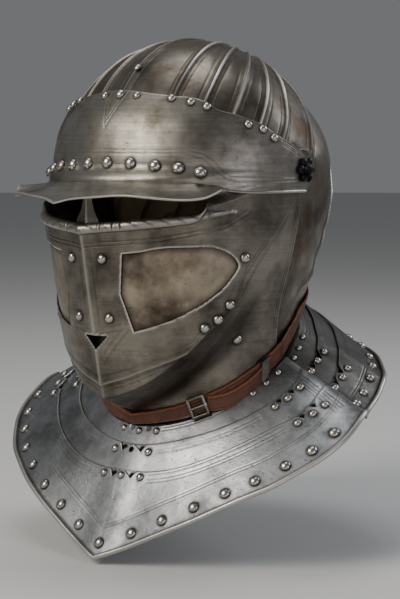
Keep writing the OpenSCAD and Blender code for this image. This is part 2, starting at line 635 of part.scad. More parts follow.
// azimuth of the neck for an azimuth of the gorget, whose front sits turned
function turned(a) =
    let (c = a > 180 ? a - 360 : a) c + gorget_turn * clamp01((95 - abs(c)) / 60);
function lame_top(a) = neck_point(turned(a), 3);
function rim_point(a) =
    let (b = folded(a), g = turned(a), r = smooth(rim_plan, b) * rim_k,
        z = smooth(rim_level, b) - rim_d * clamp01(1 - b / 90))
    [r * sin(g), 4 - r * cos(g), z];
function lame_length(a) = norm(rim_point(a) - lame_top(a));
function lame_normal(a) =
    let (n = unit(cross(lame_top(a + 1) - lame_top(a - 1), rim_point(a) - lame_top(a))))
    n.z < 0 ? -n : n;
// point s down from the neck line, h over the base face of the lames
function lame_at(a, s, h) =
    let (n = lame_top(a), e = unit(rim_point(a) - n)) n + e * s + lame_normal(a) * h;
function lame_section(a, s0, s1, h, rows) =
    let (ss = [for (k = [0 : rows]) s0 + (s1 - s0) * k / rows])
    concat([for (s = ss) lame_at(a, s, h)], reversed([for (s = ss) lame_at(a, s, h - lame_t)]));
// the top lame also has a collar that stands inside the head plate
function collar_section(a, s1, h, o, rise, down) =
    let (c = neck_point(turned(a), o), d = neck_point(turned(a), o - lame_t),
        ss = [for (k = [0 : 3]) 3 + (s1 - 3) * k / 3])
    concat([c + [0, 0, rise], c - [0, 0, down]], [for (s = ss) lame_at(a, s, h)],
        reversed([for (s = ss) lame_at(a, s, h - lame_t)]),
        [d - [0, 0, down + lame_t], d + [0, 0, rise]]);
// the lowest lame ends in a turned rim
function rim_section(a, s0, h, rows, r) =
    let (L = lame_length(a) - 0.5, n = lame_normal(a),
        e = unit(rim_point(a) - lame_top(a)),
        ss = [for (k = [0 : rows]) s0 + (L - rim_r * 0.8 - s0) * k / rows],
        c = lame_at(a, L, h) + n * (r - lame_t))
    concat([for (s = ss) lame_at(a, s, h)],
        [for (g = [140, 90, 45, 0, -45, -90]) c + e * r * cos(g) + n * r * sin(g)],
        reversed([for (s = ss) lame_at(a, s, h - lame_t)]));

front_end = 92;
function front_columns() = [for (k = [-14 : 14]) front_end * k / 14];
// the rear lames run on under the ends of the front ones
rear_ends = [84, 88, front_end, front_end + 1.5];
function rear_columns() = concat(rear_ends, [for (k = [-11 : 11]) 180 + 7.4 * k],
    reversed([for (a = rear_ends) 360 - a]));
// the turned rim of the rear lame lies flat where it runs under the front one
function rear_rim(a) = folded(a) > front_end + 1 ? rim_r : lame_t * 0.8;
overlap = 8;

module front_lame_1() {
    color("Silver")
        sections(reversed([for (a = front_columns())
            collar_section(a, smooth(second_top, abs(a)) + overlap, 0, 0.6,
                abs(a) < 75 ? 6 : -1.2, 2)]));
}
module front_lame_2() {
    p = lame_at(0, 21.5, lame_step);
    n = lame_normal(0);
    color("Silver")
        difference() {
            sections(reversed([for (a = front_columns())
                lame_section(a, smooth(second_top, abs(a)),
                    smooth(third_top, abs(a)) + overlap, lame_step, 4)]));
            translate(p)
                rotate([0, acos(n.z), atan2(n.y, n.x)])
                    cylinder(h = 12, r = open_hole_r, center = true, $fn = 40);
        }
}
module front_gorget_plate() {
    color("Silver")
        sections(reversed([for (a = front_columns())
            rim_section(a, smooth(third_top, abs(a)), 2 * lame_step, 5, rim_r)]));
}
module rear_lame_1() {
    color("LightSlateGray")
        sections(reversed([for (a = rear_columns())
            collar_section(a, smooth(second_top, folded(a)) + overlap, -rear_inset, -plate_t - 0.8,
                6, 5)]));
}
module rear_lame_2() {
    color("LightSlateGray")
        sections(reversed([for (a = rear_columns())
            lame_section(a, smooth(second_top, folded(a)),
                smooth(third_top, folded(a)) + overlap, lame_step - rear_inset, 4)]));
}
module rear_gorget_plate() {
    color("LightSlateGray")
        sections(reversed([for (a = rear_columns())
            rim_section(a, smooth(third_top, folded(a)), 2 * lame_step - rear_inset, 5,
                rear_rim(a))]));
}
// rivets on a lame; spots are azimuth and distance from the neck line
module lame_rivets(spots, h, r, tall, depth) {
    color("Silver")
        for (s = spots)
            rivet(lame_at(s[0], s[1], h), lame_normal(s[0]), r, tall, depth);
}
leather_t = 1.8;
leather_gap = 0.4;
leather_depth = lame_t + leather_gap + leather_t + 0.3;
module front_lame_1_rivets() {
    lame_rivets(concat([[-12.3, 6.5], [0, 6.5], [12.3, 6.5]],
        both_sides([[67.2, 6.8], [75, 6.8], [82.6, 6.8]])), 0, 2.4, 1.7, leather_depth);
}
module front_lame_2_rivets() {
    lame_rivets(concat([[-11.2, 23], [11.2, 23]],
        both_sides([[71.7, 28.5], [77.4, 29.4], [83.8, 29.2]])),
        lame_step, gorget_rivet_r, 2.4, lame_t - 0.6);
}
module front_gorget_rivets() {
    lame_rivets(concat([[-10.7, 42.2], [0, 41.5], [10.7, 42.2]],
        both_sides([[74.2, 51.7], [79.7, 53.4], [84.5, 54.1]])),
        2 * lame_step, gorget_rivet_r, 2.4, lame_t - 0.6);
    lame_rivets([for (a = [0, 12.7, 24.7, 36.3, 46.9, 56, 65, 72.7, 80.2])
        each a == 0 ? [[0, lame_length(0) - 11.5]]
            : [[a, lame_length(a) - 10.3], [-a, lame_length(a) - 10.3]]],
        2 * lame_step, rim_rivet_r, 2.9, lame_t - 0.6);
}
module rear_lame_1_rivets() {
    lame_rivets(concat([[172, 7.5], [180, 7.5], [188, 7.5]],
        around([[96.5, 7], [103.5, 7], [111.5, 7]])), -rear_inset, 2.4, 1.7, leather_depth);
}
module rear_lame_2_rivets() {
    lame_rivets(concat([[172.5, 23], [180, 23], [187.5, 23]],
        around([[95.8, 24.1], [103.8, 24], [110.9, 26]])),
        lame_step - rear_inset, gorget_rivet_r, 2.4, lame_t - 0.6);
}
module rear_gorget_rivets() {
    lame_rivets(concat([[173.5, 42], [180, 42], [186.5, 42]],
        around([[104.4, 46.4], [110.6, 47]])),
        2 * lame_step - rear_inset, gorget_rivet_r, 2.4, lame_t - 0.6);
    // the plate bends here, so this head stands a little higher
    lame_rivets(around([[95.9, 46.7]]), 2 * lame_step - rear_inset + 0.4, gorget_rivet_r, 2.2,
        lame_t - 0.3);
    lame_rivets(concat([[180, lame_length(180) - 10.3]],
        around([for (a = [97.5, 105.4, 113.2, 121, 130, 140, 150, 160, 170])
            [a, lame_length(a) - 10.3]])),
        2 * lame_step - rear_inset, rear_rim_rivet_r, 2.6, lame_t - 0.6);
}
function around(spots) = [for (s = spots) each [s, [360 - s[0], s[1]]]];

// leathers that the lames hang on, riveted to the top lame
module leather(a, half, s1, h) {
    color("Sienna")
        sections(reversed([for (k = [-2 : 2])
            let (b = a + half * k / 2,
                ss = [for (j = [0 : 5]) 3.5 + (s1 - 3.5) * j / 5])
            concat([for (s = ss) lame_at(b, s, h)],
                reversed([for (s = ss) lame_at(b, s, h - leather_t)]))]));
}
leather_h = -lame_t - leather_gap;

// rivets under the strap

// a flat-headed rivet through the head plate and the collar
module neck_rivet(a, o0, o1) {
    p = neck_point(a, o0);
    q = neck_point(a, o0 + 1);
    n = unit([q.x - p.x, q.y - p.y, 0]);
    color("DimGray")
        translate([p.x, p.y, neck_level(p.y) + 3.4])
            rotate([0, 90, atan2(n.y, n.x)])
                cylinder(h = o1 - o0, r = 1.8, $fn = 24);
}
module neck_rivets_front() {
    for (a = [-70, -61, -52, -43, 43, 52, 61, 70])
        neck_rivet(a, -0.9, lower_layer + 0.15);
}
module neck_rivets_rear() {
    for (a = [98, 106, 114, 246, 254, 262])
        neck_rivet(a, -plate_t - lame_t - 0.4, 0.1);
}

// strap and buckle

// distance along d to a face o over the skull, and over the bevor where that lies outside
function strap_reach(d, az, o) =
    let (s = to_skull(d, o), f = max(s, to_face(d, o)),
        k = clamp01((folded(az) - 90.5) / 6))
    f + (s - f) * k;
function strap_elevation(az, o, level, lo = -80, hi = -20, n = 14) =
    let (m = (lo + hi) / 2, d = dir(az, m), p = d * strap_reach(d, az, o))
    n == 0 ? m : p.z > neck_level(p.y) + level
        ? strap_elevation(az, o, level, lo, m, n - 1)
        : strap_elevation(az, o, level, m, hi, n - 1);
// point of the strap: azimuth, layer, and distance across the strap from its middle
function strap_point(az, o, w) =
    let (steep = sqrt(1 + pow(neck_slope * sin(az), 2)),
        level = strap_rise + w * steep,
        d = dir(az, strap_elevation(az, o, level)))
    d * strap_reach(d, az, o);
// a stretch of strap between two azimuths, lifted by the values of lift at its two ends
module band(a0, a1, n, o0, o1, w, lift = [0, 0]) {
    ws = [for (j = [-3 : 2 : 3]) w * j / 6];
    sections([for (k = [0 : n])
        let (a = a0 + (a1 - a0) * k / n, up = lift_at(a, lift))
        concat([for (q = ws) strap_point(a, o1 + up, q)],
            [for (q = reversed(ws)) strap_point(a, o0 + up, q)])]);
}
function lift_at(a, lift) = lift[0] * clamp01((lift[1] - folded(a)) / 9);
strap_gap = 0.7;
strap_split = 92;
strap_in = lower_layer + strap_gap;
strap_out = strap_in + strap_t;
module strap_front() {
    color("Sienna")
        band(-strap_split, strap_split, 32, strap_in, strap_out, strap_w);
}
module strap_rear() {
    color("Sienna")
        band(strap_split + 0.4, 359.6 - strap_split, 28, strap_gap, strap_gap + strap_t, strap_w,
            [lower_layer, strap_split + 10]);
}
buckle_a = 42;
function buckle_frame_axes() =
    let (c = strap_point(buckle_a, strap_out, 0),
        s = unit(strap_point(buckle_a + 1, strap_out, 0) - strap_point(buckle_a - 1, strap_out, 0)),
        w = unit([0, 0, 1] - s * s.z))
    [c, s, w];
// local frame of the buckle: x back along the strap, y in towards the neck, z across the strap
module on_buckle() {
    f = buckle_frame_axes();
    s = f[1];
    w = f[2];
    n = cross(w, s);
    c = f[0];
    multmatrix([[s.x, n.x, w.x, c.x], [s.y, n.y, w.y, c.y], [s.z, n.z, w.z, c.z], [0, 0, 0, 1]])
        children();
}
bar_x = 5.6;
bar_y = -buckle_wire_r - 0.9;
frame_half = strap_w / 2 + 1.5;
module buckle_frame() {
    color("Silver")
        on_buckle()
            union() {
                for (x = [-bar_x, bar_x])
                    translate([x, bar_y, -frame_half])
                        cylinder(h = 2 * frame_half, r = buckle_wire_r, $fn = 32);
                for (z = [-frame_half, frame_half])
                    translate([-bar_x, bar_y, z])
                        rotate([0, 90, 0])
                            cylinder(h = 2 * bar_x, r = buckle_wire_r, $fn = 32);
                for (x = [-bar_x, bar_x], z = [-frame_half, frame_half])
                    translate([x, bar_y, z])
                        sphere(r = buckle_wire_r, $fn = 32);
            }
}
tongue_r = buckle_wire_r + 0.05;
module buckle_tongue() {
    color("Silver")
        on_buckle()
            difference() {
                union() {
                    translate([bar_x, bar_y, -1.4])
                        cylinder(h = 2.8, r = tongue_r + 0.6, $fn = 32);
                    translate([bar_x, bar_y - buckle_wire_r - 0.75, 0])
                        rotate([0, -90, 0])
                            cylinder(h = 2 * bar_x + 0.8, r1 = 0.9, r2 = 0.7, $fn = 24);
                }
                translate([bar_x, bar_y, -3])
                    cylinder(h = 6, r = tongue_r, $fn = 32);
            }
}
// the doubled end: it holds the buckle's bar in a fold and lies over the strap
tail_gap = 0.15;
tail_in = strap_out + tail_gap;
eye_r = buckle_wire_r + 0.85;
module strap_tail() {
    color("Sienna")
        union() {
            band(buckle_a + 5.9, 83, 10, tail_in, tail_in + strap_t, strap_w - 0.4);
            on_buckle()
                for (s = [-1, 1])
                    difference() {
                        union() {
                            translate([bar_x, bar_y, s * 3.4 - 1.8])
                                cylinder(h = 3.6, r = eye_r, $fn = 32);
                            translate([bar_x, -tail_gap - strap_t, s * 3.4 - 1.8])
                                cube([eye_r + 1, strap_t, 3.6]);
                        }
                        translate([bar_x, bar_y, -8])
                            cylinder(h = 16, r = buckle_wire_r, $fn = 32);
                    }
        }
}
// a metal band round the doubled strap
module strap_keeper() {
    w = strap_w + 0.2;
    t = 0.8;
    color("Silver")
        union() {
            keeper_part(tail_in + strap_t + 0.05, tail_in + strap_t + 0.05 + t, -w / 2 - t, w / 2 + t);
            keeper_part(strap_in + 0.1, tail_in + strap_t + 0.1, w / 2, w / 2 + t);
            keeper_part(strap_in + 0.1, tail_in + strap_t + 0.1, -w / 2 - t, -w / 2);
        }
}
module keeper_part(o0, o1, w0, w1) {
    sections([for (a = [77, 79, 81])
        [strap_point(a, o1, w0), strap_point(a, o1, w1), strap_point(a, o0, w1),
            strap_point(a, o0, w0)]]);
}

// nodes

skull();
skull_lining();
skull_rivets();
lower_bevor();
lower_bevor_rivets();
neck_rivets_front();
neck_rivets_rear();
upper_bevor();
upper_bevor_rivets();
sight_bar();
window_backing();
brow_peak_plate();
brow_rivets();
brow_lining_band();
pivot_bolt(1);  // pivot_bolt_left
pivot_bolt(-1);  // pivot_bolt_right
pivot_rosette(1);  // pivot_rosette_left
pivot_rosette(-1);  // pivot_rosette_right
pivot_nut(1);  // pivot_nut_left
pivot_nut(-1);  // pivot_nut_right
front_lame_1();
front_lame_2();
front_gorget_plate();
front_lame_1_rivets();
front_lame_2_rivets();
front_gorget_rivets();
rear_lame_1();
rear_lame_2();
rear_gorget_plate();
rear_lame_1_rivets();
rear_lame_2_rivets();
rear_gorget_rivets();
leather(0, 15, 50, leather_h);  // front_leather_centre
leather(74, 7.5, 58, leather_h);  // front_leather_left
leather(-74, 7.5, 58, leather_h);  // front_leather_right
leather(180, 9, 52, leather_h - rear_inset);  // rear_leather_centre
leather(104, 8.5, 52, leather_h - rear_inset);  // rear_leather_left
leather(256, 8.5, 52, leather_h - rear_inset);  // rear_leather_right
strap_front();
strap_rear();
strap_tail();
strap_keeper();
buckle_frame();
buckle_tongue();
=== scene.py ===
# %% [markdown]
# # A close helmet with gorget plates
# A close helmet is a set of thin steel shells that nest like the skins of an onion: a ribbed
# skull, a lower and an upper bevor in front of the face, and a brow plate with a peak. Three
# lames in front and three behind spread over the shoulders. The CAD part already holds every
# plate at its true size, so this lesson keeps that frame and dresses it: finer shells, incised
# lines, rope turning, domed rivets, leather, and the look of old polished steel.

import math

import bpy
import numpy as np
from mathutils import Matrix, Vector, kdtree


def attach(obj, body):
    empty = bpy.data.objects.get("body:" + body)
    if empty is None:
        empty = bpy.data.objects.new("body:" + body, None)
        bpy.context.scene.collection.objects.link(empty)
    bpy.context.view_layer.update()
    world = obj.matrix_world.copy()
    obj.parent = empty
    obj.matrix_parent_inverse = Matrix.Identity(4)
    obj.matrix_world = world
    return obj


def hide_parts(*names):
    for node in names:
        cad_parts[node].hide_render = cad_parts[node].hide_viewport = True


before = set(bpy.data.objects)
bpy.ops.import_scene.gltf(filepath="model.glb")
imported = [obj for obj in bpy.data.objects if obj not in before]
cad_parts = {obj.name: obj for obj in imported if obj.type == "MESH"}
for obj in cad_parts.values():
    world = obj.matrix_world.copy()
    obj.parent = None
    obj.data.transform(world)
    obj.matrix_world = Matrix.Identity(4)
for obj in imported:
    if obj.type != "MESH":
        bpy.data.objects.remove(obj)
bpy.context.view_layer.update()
scene = bpy.context.scene
bpy.ops.object.select_all(action="DESELECT")

# %% [markdown]
# ## Camera, floor and light
# The helmet is seen from its left front, a little from above, with a long lens. Steel shows
# little colour of its own: it shows what it mirrors. So the lights are large soft panels, one
# broad one on the left of the camera, weaker ones elsewhere, and the floor is plain and pale.

# %% Camera
turn_left, tip_down = math.radians(40), math.radians(5.3)
looking = Vector((-math.sin(turn_left) * math.cos(tip_down),
                  math.cos(turn_left) * math.cos(tip_down), -math.sin(tip_down)))
camera_data = bpy.data.cameras.new("camera")
camera_data.lens = 100.14
camera_data.sensor_width = 36
camera = bpy.data.objects.new("camera", camera_data)
camera.location = (0.7900, -0.9357, 0.0171)
camera.rotation_euler = looking.to_track_quat("-Z", "Y").to_euler()
scene.collection.objects.link(camera)
scene.camera = camera

# %% Colours, nodes and materials


def colour(hex_code):
    """sRGB hex to the linear colour that shaders use."""
    parts = [int(hex_code[k:k + 2], 16) / 255 for k in (0, 2, 4)]
    return tuple(c / 12.92 if c < 0.04045 else ((c + 0.055) / 1.055) ** 2.4
                 for c in parts) + (1.0,)


def add(tree, kind, values=None, **settings):
    """Adds a node; values holds numbers for its inputs, or the sockets that feed them."""
    made = tree.nodes.new("ShaderNode" + kind)
    for key, value in settings.items():
        setattr(made, key, value)
    for key, value in (values or {}).items():
        if isinstance(value, bpy.types.NodeSocket):
            tree.links.new(value, made.inputs[key])
        else:
            made.inputs[key].default_value = value
    return made


def new_material(name):
    made = bpy.data.materials.new(name)
    made.use_nodes = True
    made.node_tree.nodes.clear()
    return made, made.node_tree


def surface(tree, base, rough, **more):
    """The shader and the output that every material ends with."""
    shader = add(tree, "BsdfPrincipled", {"Base Color": base, "Roughness": rough, **more})
    add(tree, "OutputMaterial", {"Surface": shader.outputs[0]})


# %% Floor, world and lights
FLOOR_LEVEL = -0.2725
bpy.ops.mesh.primitive_circle_add(vertices=64, radius=9, fill_type="NGON",
                                  location=(0, 0, FLOOR_LEVEL))
floor = bpy.context.object
floor.name = "studio_floor"
bpy.ops.object.transform_apply(location=True)
paint, tree = new_material("matt studio floor paint")
surface(tree, colour("c9c9c7"), 0.85)
floor.data.materials.append(paint)

world = bpy.data.worlds.new("studio")
scene.world = world
world.use_nodes = True
sky = world.node_tree.nodes["Background"]
sky.inputs[0].default_value = colour("c3c5c9")
sky.inputs[1].default_value = 0.3


def soft_panel(name, place, aim, size, power, tint):
    data = bpy.data.lights.new(name, "AREA")
    data.shape, data.size, data.size_y = "RECTANGLE", size[0], size[1]
    data.energy, data.color = power, colour(tint)[:3]
    panel = bpy.data.objects.new(name, data)
    panel.location = place
    panel.rotation_euler = (Vector(aim) - Vector(place)).to_track_quat("-Z", "Y").to_euler()
    scene.collection.objects.link(panel)


soft_panel("key panel", (-0.35, -1.55, 0.95), (0, -0.05, -0.05), (0.8, 1.0), 30, "fffaf2")
soft_panel("fill panel", (1.7, -0.35, 0.35), (0, 0, -0.08), (0.6, 0.9), 4.5, "f6f4ff")
soft_panel("low panel", (1.25, -1.25, -0.12), (0, 0, -0.12), (0.7, 0.25), 2.2, "fff6ea")
soft_panel("rim panel", (0.75, 1.25, 0.75), (0, 0, 0.0), (0.8, 0.8), 10, "f4f7ff")
soft_panel("top panel", (-0.2, 0.1, 1.5), (0, 0, 0), (0.9, 0.9), 8, "ffffff")
print("camera", tuple(round(v, 4) for v in camera.location))

# %% [markdown]
# ## The head form
# A plate is easiest to draw as a distance from the middle of the pivots, for each direction
# given by an azimuth from the front and an elevation. Each plate is one layer of the same
# form, so plates that nest keep their gaps. These functions work on whole grids at once, which
# is why they use numpy; a primitive could not give such a doubly curved and creased form.

# %% Sizes, in millimetres and degrees
skull_half_w, crown_r, back_r, front_r = 96.2, 93.0, 104.5, 96.0
rib_h, rib_pole_tilt, opening_top, opening_side = 1.6, 32.0, 6.0, 12.0
plate_t, layer, tab_r, brow_tab_r, bolt_r = 1.3, 2.0, 14.0, 8.5, 3.0
face_r, face_lean, chin_r, keel_h, rope_r = 126.9, 10.2, 186.0, 3.5, 4.0
peak_r, peak_drop, brow_r, brow_top_r = 146.7, 21.0, 101.9, 97.6
neck_half_w, neck_half_d, neck_back, neck_y = 73.5, 65.0, 11.0, 5.5
neck_drop, neck_slope = 136.5, 0.69
lame_t, lame_step, rear_inset, gorget_turn, rim_r = 1.2, 1.8, 4.9, 2.8, 1.9
lower_layer, upper_layer, brow_layer = layer, 2 * layer, 3 * layer
pivot_flat = skull_half_w - 2.2
hole_play = 0.05
front_end = 92.0

skull_reach = [[-60, 166], [-30, front_r + 1], [5, front_r], [35, crown_r], [125, crown_r],
               [152, crown_r + 2.5], [180, back_r - 4.5], [200, back_r], [215, back_r + 3.5],
               [230, back_r + 12.5], [250, back_r + 37.5], [262, 163]]
skull_round = [[-60, 1.74], [-30, 2.1], [20, 2.1], [60, 2.05], [100, 1.8], [130, 1.8],
               [165, 2.1], [240, 2.12], [264, 1.78], [285, 1.74], [300, 1.74]]
face_reach = [[-110, 166], [-90, 168], [-80, chin_r - 13], [-70, chin_r - 5],
              [-62, chin_r - 1.6], [-57, chin_r]]
face_round = [[-90, 1.78], [-75, 1.75], [-65, 1.85], [-58, 1.92], [-50, 2], [-42, 2.05],
              [20, 2.1]]
brow_reach = [[-20, brow_r + 28], [-12, brow_r + 10], [-4, brow_r + 6], [2.5, brow_r],
              [17, brow_r - 1.5], [35, brow_top_r], [60, brow_top_r + 0.4]]
brow_round = [[-30, 2.05], [20, 2.1], [60, 2.05], [100, 2]]
brow_top_edge = [[0, 34.4], [6, 34.1], [12, 33.3], [18, 32.4], [27, 31], [33, 30.2],
                 [38, 29.7], [42, 28.6], [46, 26.9], [50, 24], [57.75, 21.75], [62, 20.2],
                 [68, 18], [73, 14.7], [78.25, 11.8], [85, 8.6], [88, 7]]
brow_low_edge = [[0, -4.1], [32, -4.5], [47, -5.2], [52, -6.5], [60, -7.3], [88, -7.9]]
peak_edge = [[0, 0, 0], [5, -2.4, 2.9], [12, -3.4, 4.4], [20, -6, 5.5], [28, -10.6, 3.9],
             [36, -14.3, 2.6], [43, -16, 3.8], [48, -17.2, 9]]
rope_line = [[0, -18.4], [8, -18], [18, -17.5], [28, -17], [35, -16.6], [41, -16],
             [44, -13.2], [45.6, -9.6], [47, -6.4], [50, -4.6], [56, -3.6], [62, -2.4], [68, 0],
             [76, 4.5], [84, 7], [88, 8]]
rope_taper = [[0, 1], [30, 1], [38, 0.92], [42, 0.75], [44, 0.45], [45.6, 0.163], [88, 0.163]]
# where the roll runs out on the plate: azimuth, elevation
roll_tail = [[36, -16.5], [40, -16], [43, -15.6], [46.5, -15.3], [50, -14.9], [53, -14.7],
             [55.5, -14.6]]
upper_low_edge = [[0, -55.8], [11, -55.1], [21, -53.9], [28, -53.2], [35.4, -52.3],
                  [40, -51.3], [44.2, -49.3], [51, -47], [58.5, -42.7], [62, -36.9],
                  [66, -32], [70.4, -27.6], [75.7, -22.2], [81.6, -16.4], [88, -9.8]]
lower_top_edge = [[0, -51.5], [17, -50.5], [28, -49.8], [36, -48], [44, -46], [51, -43],
                  [55, -40], [58.5, -38], [61.7, -34.5], [66, -28.5], [70, -23.5], [76, -17],
                  [82, -11], [88, -4], [90.5, -2]]
backing_low_edge = [[0, -45], [10, -46], [17, -48.2], [27, -47.2], [36, -45.5], [42, -43.8],
                    [50, -40.4], [55, -37.2], [58, -35.2], [61, -32]]
rim_plan = [[0, 116.3], [11.5, 112.2], [23, 113.3], [33.7, 118], [43, 124], [51.5, 130.2],
            [59.3, 137.2], [66.7, 142.7], [73.9, 148.2], [81.5, 150.5], [90.4, 148],
            [98.7, 139.6], [109.5, 137.9], [116.6, 138.6], [126.4, 136.6], [135.3, 135],
            [157.6, 130.9], [180, 132]]
rim_level = [[0, -270], [11.5, -261], [23, -250.5], [33.7, -240.5], [43, -231],
             [51.5, -222], [59.3, -214], [66.7, -204.6], [73.9, -195], [81.5, -183.5],
             [90.4, -170], [98.7, -168], [109.5, -160], [116.6, -151], [126.4, -147],
             [135.3, -141], [157.6, -134], [180, -130]]
second_top = [[0, 17], [30, 17], [50, 19.5], [67, 22], [85, 23], [92, 19], [107, 21],
              [115, 19], [125, 17], [180, 17]]
third_top = [[0, 37], [26, 39], [50, 40], [67, 42.5], [76, 46], [92, 42], [108, 40],
             [117, 36], [125, 35], [180, 35]]

# %% Reading a table, and directions


def clamp01(x):
    return np.clip(x, 0.0, 1.0)


def unit(v):
    return v / np.linalg.norm(v, axis=-1, keepdims=True)


def place_in(table, x):
    t = np.array(table, float)
    x = np.clip(x, t[0, 0], t[-1, 0])
    k = np.clip(np.searchsorted(t[:, 0], x, side="right") - 1, 0, len(t) - 2)
    return t, k, (x - t[k, 0]) / (t[k + 1, 0] - t[k, 0])


def eased(table, x):
    """Value at x, eased flat at each given point."""
    t, k, f = place_in(table, x)
    return t[k, 1] + (t[k + 1, 1] - t[k, 1]) * (1 - np.cos(np.pi * f)) / 2


def smooth(table, x, c=1):
    """Value at x on a smooth curve through the given points."""
    t, k, f = place_in(table, x)
    n = np.arange(len(t))
    after, before = np.minimum(n + 1, len(t) - 1), np.maximum(n - 1, 0)
    m = (t[after, c] - t[before, c]) / (t[after, 0] - t[before, 0])
    w = t[k + 1, 0] - t[k, 0]
    return (t[k, c] * (2 * f**3 - 3 * f**2 + 1) + m[k] * w * (f**3 - 2 * f**2 + f)
            + t[k + 1, c] * (3 * f**2 - 2 * f**3) + m[k + 1] * w * (f**3 - f**2))


def direction(az, el):
    az, el = np.radians(az), np.radians(el)
    return np.stack([np.sin(az) * np.cos(el), -np.cos(az) * np.cos(el),
                     np.sin(el) + 0 * az], -1)


def folded(a):
    b = np.abs(a)
    return np.where(b > 180, 360 - b, b)


# %% The forms of skull, face and brow


def neck_depth(a):
    t = clamp01((folded(a) - 125) / 55)
    return neck_half_d + neck_back * t * t * (3 - 2 * t)


def to_neck(d, o):
    a = neck_half_w + o
    b = neck_depth(np.degrees(np.arctan2(d[..., 0], -d[..., 1]))) + o
    q = np.maximum((d[..., 0] / a)**2 + (d[..., 1] / b)**2, 1e-9)
    p = -2 * d[..., 1] * neck_y / (b * b)
    c = (neck_y / b)**2 - 1
    return clamp01((-d[..., 2] - 0.2) / 0.3) * (-p + np.sqrt(p * p - 4 * q * c)) / (2 * q)


def to_form(d, r, n, o, tube):
    x, yz = np.abs(d[..., 0]), np.hypot(d[..., 1], d[..., 2])
    t = ((x / (skull_half_w + o))**n + (yz / r)**n)**(-1 / n)
    s = to_neck(d, o) if tube else 0 * t
    m = np.where(s > 0, (t**20 + s**20)**0.05, t)
    return np.minimum(m, (pivot_flat + o) / np.maximum(x, 1e-9))


def tilt(d):
    return np.degrees(np.arctan2(d[..., 2], -d[..., 1]))


def to_skull(d, o):
    p = tilt(d)
    q = np.where(p < -60, p + 360, p)
    return to_form(d, eased(skull_reach, q) + o, eased(skull_round, q), o, True)


def to_brow(d, o):
    p = tilt(d)
    return to_form(d, eased(brow_reach, p) + o - brow_layer, eased(brow_round, p), o, False)


def to_face(d, o):
    p = np.minimum(tilt(d), 49)
    front = np.where(p < -79, 1e3, face_r / np.cos(np.radians(p + face_lean)) - keel_h)
    under_brow = np.where(p < -20, 1e3, eased(brow_reach, p) - brow_layer + upper_layer)
    r = np.minimum(np.minimum(front, under_brow), eased(face_reach, p)) + o - upper_layer
    t = to_form(d, r, eased(face_round, p), o, True)
    return t + keel_h * np.exp(-np.abs(d[..., 0]) * t / 9)


def on(kind, az, el, o):
    """Point of a form at azimuth az and elevation el, in layer o."""
    d = direction(np.asarray(az, float), np.asarray(el, float))
    reach = {"skull": to_skull, "brow": to_brow, "face": to_face}[kind](d, o)
    return d * reach[..., None]


def normal_on(kind, az, el, o):
    e = 0.5
    return unit(np.cross(on(kind, az + e, el, o) - on(kind, az - e, el, o),
                         on(kind, az, el + e, o) - on(kind, az, el - e, o)))


def neck_level(y):
    return -neck_drop + neck_slope * y


# %% The form of the gorget


def neck_point(a, o):
    """Point of the neck curve at plan azimuth a, o outside the neck tube."""
    w, h = neck_half_w + o, neck_depth(a) + o
    x, y = np.sin(np.radians(a)), -np.cos(np.radians(a))
    q = (x / w)**2 + (y / h)**2
    p = 2 * y * (4 - neck_y) / (h * h)
    c = ((4 - neck_y) / h)**2 - 1
    r = (-p + np.sqrt(p * p - 4 * q * c)) / (2 * q)
    return np.stack([r * x, 4 + r * y, neck_level(4 + r * y)], -1)


def turned(a):
    c = np.where(np.asarray(a) > 180, np.asarray(a) - 360.0, a)
    return c + gorget_turn * clamp01((95 - np.abs(c)) / 60)


def lame_top(a):
    return neck_point(turned(a), 3)


def rim_point(a):
    b, g = folded(a), np.radians(turned(a))
    r, z = smooth(rim_plan, b), smooth(rim_level, b)
    return np.stack([r * np.sin(g), 4 - r * np.cos(g), z], -1)


def lame_length(a):
    return np.linalg.norm(rim_point(a) - lame_top(a), axis=-1)


def lame_normal(a):
    n = unit(np.cross(lame_top(a + 1) - lame_top(a - 1), rim_point(a) - lame_top(a)))
    return np.where(n[..., 2:3] < 0, -n, n)


def lame_at(a, s, h):
    """Point of a lame: azimuth, distance down from the neck line, height over its base."""
    a = np.asarray(a, float)
    n = lame_top(a)
    return (n + unit(rim_point(a) - n) * np.asarray(s, float)[..., None]
            + lame_normal(a) * np.asarray(h, float)[..., None])


print("chin at", on("face", 0.0, -57.0, lower_layer).round(1), "mm")

# %% [markdown]
# ## How a shell is made
# Each plate is a fine outer grid and a coarse inner grid, sewn together along their edges into
# one closed mesh. The outer grid is fine enough to carry engraved lines as real grooves: every
# grid point looks up its distance to the nearest line and sinks if it is close. The same
# distance is stored on the points, so that the steel can be darker in the grooves, with dirt
# and painted shade, and brighter along the worn edges, with painted highlights on edges,
# crests and rolls. Mesh code is used because it places thousands of points.

# %% Meshes from arrays


def make_mesh(name, points, faces, marks=None):
    mesh = bpy.data.meshes.new(name)
    mesh.from_pydata((points / 1000).tolist(), [], faces)
    mesh.update()
    for key, values in (marks or {}).items():
        stored = mesh.attributes.new(key, "FLOAT", "POINT")
        stored.data.foreach_set("value", np.asarray(values, np.float32))
    made = bpy.data.objects.new(name, mesh)
    scene.collection.objects.link(made)
    return made


def enclosed(points, faces):
    """Signed volume inside the faces, negative if they point inwards."""
    tris = np.array([(f[0], f[k], f[k + 1]) for f in faces for k in range(1, len(f) - 1)])
    a, b, c = points[tris[:, 0]], points[tris[:, 1]], points[tris[:, 2]]
    return float(np.sum(a * np.cross(b, c)) / 6)


def end_strip(a, b, keep):
    """Triangles between a fine edge a and a coarse edge b, whose points match a[keep]."""
    tris = []
    for w in range(len(keep) - 1):
        first, last = keep[w], keep[w + 1]
        mid = (first + last) // 2
        tris += [[a[r], a[r + 1], b[w]] for r in range(first, mid)]
        tris.append([a[mid], b[w + 1], b[w]])
        tris += [[a[r], a[r + 1], b[w + 1]] for r in range(mid, last)]
    return tris


